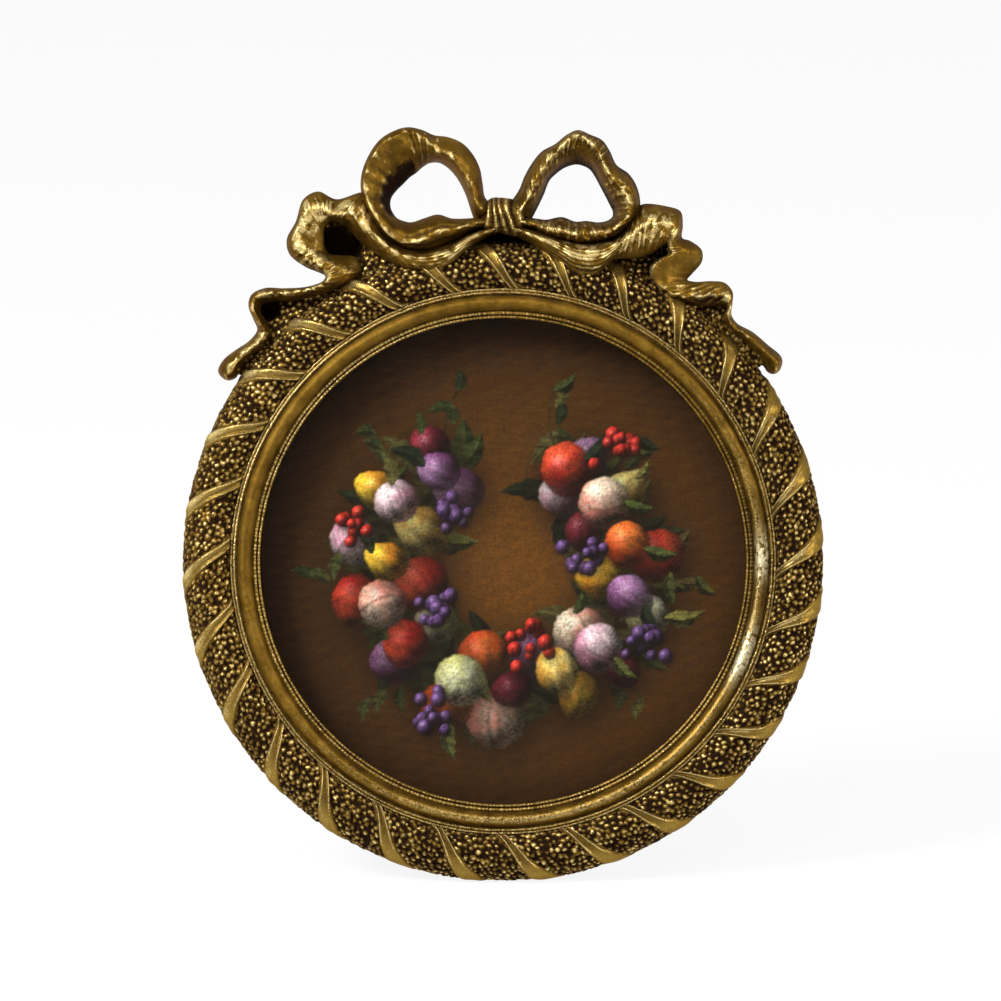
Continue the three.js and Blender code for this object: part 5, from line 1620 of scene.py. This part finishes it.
def build_print():
    """The painted front, and the paper's bare rim and back."""
    axis = np.arange(-PRINT_REACH, PRINT_REACH + PRINT_STEP, PRINT_STEP)
    plan = plan_grid(axis, axis)
    keep = np.hypot(*plan.T) < PRINT_REACH
    faces, used = only_used(kept_faces(keep.reshape(len(axis), len(axis))), len(plan))
    canvas = Canvas(plan[used])
    paint_garland(canvas)
    painted = np.column_stack((linear(canvas.colour), np.ones(len(used))))
    front = at_depth(plan[used], PRINT_FRONT)
    turn = full_turn(PAPER_SIDES)
    rim = (
        (PAPER_INNER, PAPER_FRONT),
        (PACK_RADIUS, PAPER_FRONT),
        (PACK_RADIUS, PRINT_BACK),
        (PAPER_HOLE, PRINT_BACK),
    )
    paper = np.vstack([around(radius, turn, np.full(PAPER_SIDES, depth)) for radius, depth in rim])
    paper_faces = grid_faces(len(rim), PAPER_SIDES, close_columns=True)[:, ::-1] + len(used)
    points = np.vstack((front, paper))
    faces = np.vstack((faces, paper_faces))
    layers = {"paint": np.vstack((painted, np.tile(BARE_PAPER, (len(paper), 1))))}
    add_piece("print_picture", points, faces, printed_paper(), ["art_print"], layers)


build_print()


# Hanging ring


def build_hanger_ring():
    """The wire ring, hanging straight down from its straight side behind the leaning frame."""
    inset = HANGER_HALF_WIDTH - WIRE_CORNER
    bends = [
        ((inset, -WIRE_CORNER), WIRE_CORNER, 0, 90, 12),
        ((-inset, -WIRE_CORNER), WIRE_CORNER, 90, 180, 12),
        ((0.0, -HANGER_SIDE), HANGER_HALF_WIDTH, 180, 360, 48),
    ]
    girth = full_turn(WIRE_SIDES)
    rows = []
    for centre, radius, start, end, steps in bends:
        turn = np.radians(np.linspace(start, end, steps))
        outward = np.stack((np.cos(turn), np.sin(turn)), axis=-1)[:, None, :]
        reach = (radius + WIRE_RADIUS * np.cos(girth))[None, :, None]
        rows.append(centre + outward * reach)
    plan = np.concatenate(rows)
    x, y = plan.reshape(-1, 2).T
    z = np.tile(WIRE_RADIUS * np.sin(girth), len(plan))
    c, s = math.cos(LEAN), math.sin(LEAN)
    points = np.column_stack((x, HANGER_HEIGHT + y * c - z * s, HANGER_DEPTH + y * s + z * c))
    faces = grid_faces(len(plan), WIRE_SIDES, close_rows=True, close_columns=True)[:, ::-1]
    add_piece("hanger_wire", points, faces, FINISH["steel"], ["hanger_ring"], {}, body="hanger_ring")


build_hanger_ring()

for subpart in frame["record"]["subparts"]:
    if subpart["material_slot"] in FINISH:
        shape = frame["nodes"][subpart["node"]]
        shape.data.materials.clear()
        shape.data.materials.append(FINISH[subpart["material_slot"]])


# Stage, in metres

FLOOR_HALF = 3
FLOOR_GLOW = 0.89
FRAME_MIDDLE = (0, 0, 0.06)
# The room's light by how far a direction points away from the viewer: that range, and the light at its ends
ROOM_FADE = (-0.95, 0.2, 0.06, 0.5)
# The photograph's width and the ring's place on it, in pixels from its upper left corner
PHOTO_WIDTH = 1001
PHOTO_RING_WIDTH = 638.8
PHOTO_RING_X = 503.1
PHOTO_RING_Y = 561.1
CAMERA_DISTANCE = 1500.0
SENSOR_WIDTH = 36


def stage():
    """A pale floor that looks evenly white wherever it is seen."""
    corners = [(x * FLOOR_HALF, y * FLOOR_HALF, 0) for x, y in ((-1, -1), (1, -1), (1, 1), (-1, 1))]
    plane = bpy.data.meshes.new("floor")
    plane.from_pydata(corners, [], [(0, 1, 2, 3)])
    floor = bpy.data.objects.new("floor", plane)
    bpy.context.collection.objects.link(floor)
    n = Nodes("floor")
    cloud = n.remap(n.noise(60, 2), 0.3, 0.7)
    n.finish(Base_Color=n.mix(cloud, (0.86, 0.86, 0.86), (0.88, 0.88, 0.88)), Roughness=0.9)
    path = n.add("LightPath").outputs
    straight = n.math("MAXIMUM", path["Is Camera Ray"], path["Is Glossy Ray"])
    seen = n.math("MAXIMUM", straight, path["Is Transmission Ray"])
    glow = n.closure("Emission", Strength=1.0)
    lit = n.blend(n.math("MULTIPLY", seen, FLOOR_GLOW), n.shader.outputs[0], glow)
    n.link(lit, n.output.inputs["Surface"])
    plane.materials.append(n.material)


def lamp(name, place, size, power, colour=(1, 1, 1)):
    """A lamp with a flat face, turned to the frame."""
    light = bpy.data.lights.new(name, "AREA")
    light.shape = "RECTANGLE"
    light.size, light.size_y = size
    light.energy = power
    light.color = colour
    thing = bpy.data.objects.new(name, light)
    bpy.context.collection.objects.link(thing)
    thing.location = place
    thing.rotation_euler = (Vector(FRAME_MIDDLE) - Vector(place)).to_track_quat("-Z", "Y").to_euler()


def world():
    """A pale room that is dim on the viewer's side."""
    room = bpy.data.worlds.new("studio")
    bpy.context.scene.world = room
    room.use_nodes = True
    tree = room.node_tree
    background = tree.nodes["Background"]
    place = tree.nodes.new("ShaderNodeTexCoord")
    split = tree.nodes.new("ShaderNodeSeparateXYZ")
    fade = tree.nodes.new("ShaderNodeMapRange")
    tree.links.new(place.outputs["Generated"], split.inputs[0])
    tree.links.new(split.outputs["Y"], fade.inputs["Value"])
    for socket, value in zip(fade.inputs[1:5], ROOM_FADE):
        socket.default_value = value
    tree.links.new(fade.outputs[0], background.inputs["Strength"])
    background.inputs["Color"].default_value = (1, 1, 1, 1)


def camera():
    """Far off, square to the leaning ring, and placed so that the ring lies where the photograph has it."""
    lens = bpy.data.cameras.new("camera")
    view = bpy.data.objects.new("camera", lens)
    bpy.context.collection.objects.link(view)
    bpy.context.scene.camera = view
    pixel = 2 * OUTER_RADIUS / PHOTO_RING_WIDTH
    middle = PHOTO_WIDTH / 2
    x, y = (middle - PHOTO_RING_X) * pixel, (PHOTO_RING_Y - middle) * pixel
    view.location = to_row([[x, y, BAND_SIDE_DEPTH + CAMERA_DISTANCE]])[0]
    view.rotation_euler = (math.pi / 2 - LEAN, 0, 0)
    lens.sensor_fit = "HORIZONTAL"
    lens.sensor_width = SENSOR_WIDTH
    lens.lens = SENSOR_WIDTH * CAMERA_DISTANCE / (PHOTO_WIDTH * pixel)
    lens.clip_start = 0.05
    lens.clip_end = 20


stage()
lamp("key", (-0.6, -0.42, 0.66), (0.3, 0.3), 12)
lamp("right", (0.75, -0.22, 0.3), (0.3, 0.4), 3.5, (1, 0.93, 0.82))
lamp("front", (0.1, -0.8, 1.05), (1.2, 0.7), 7.5)
world()
camera()
bpy.context.scene.view_settings.view_transform = "Standard"
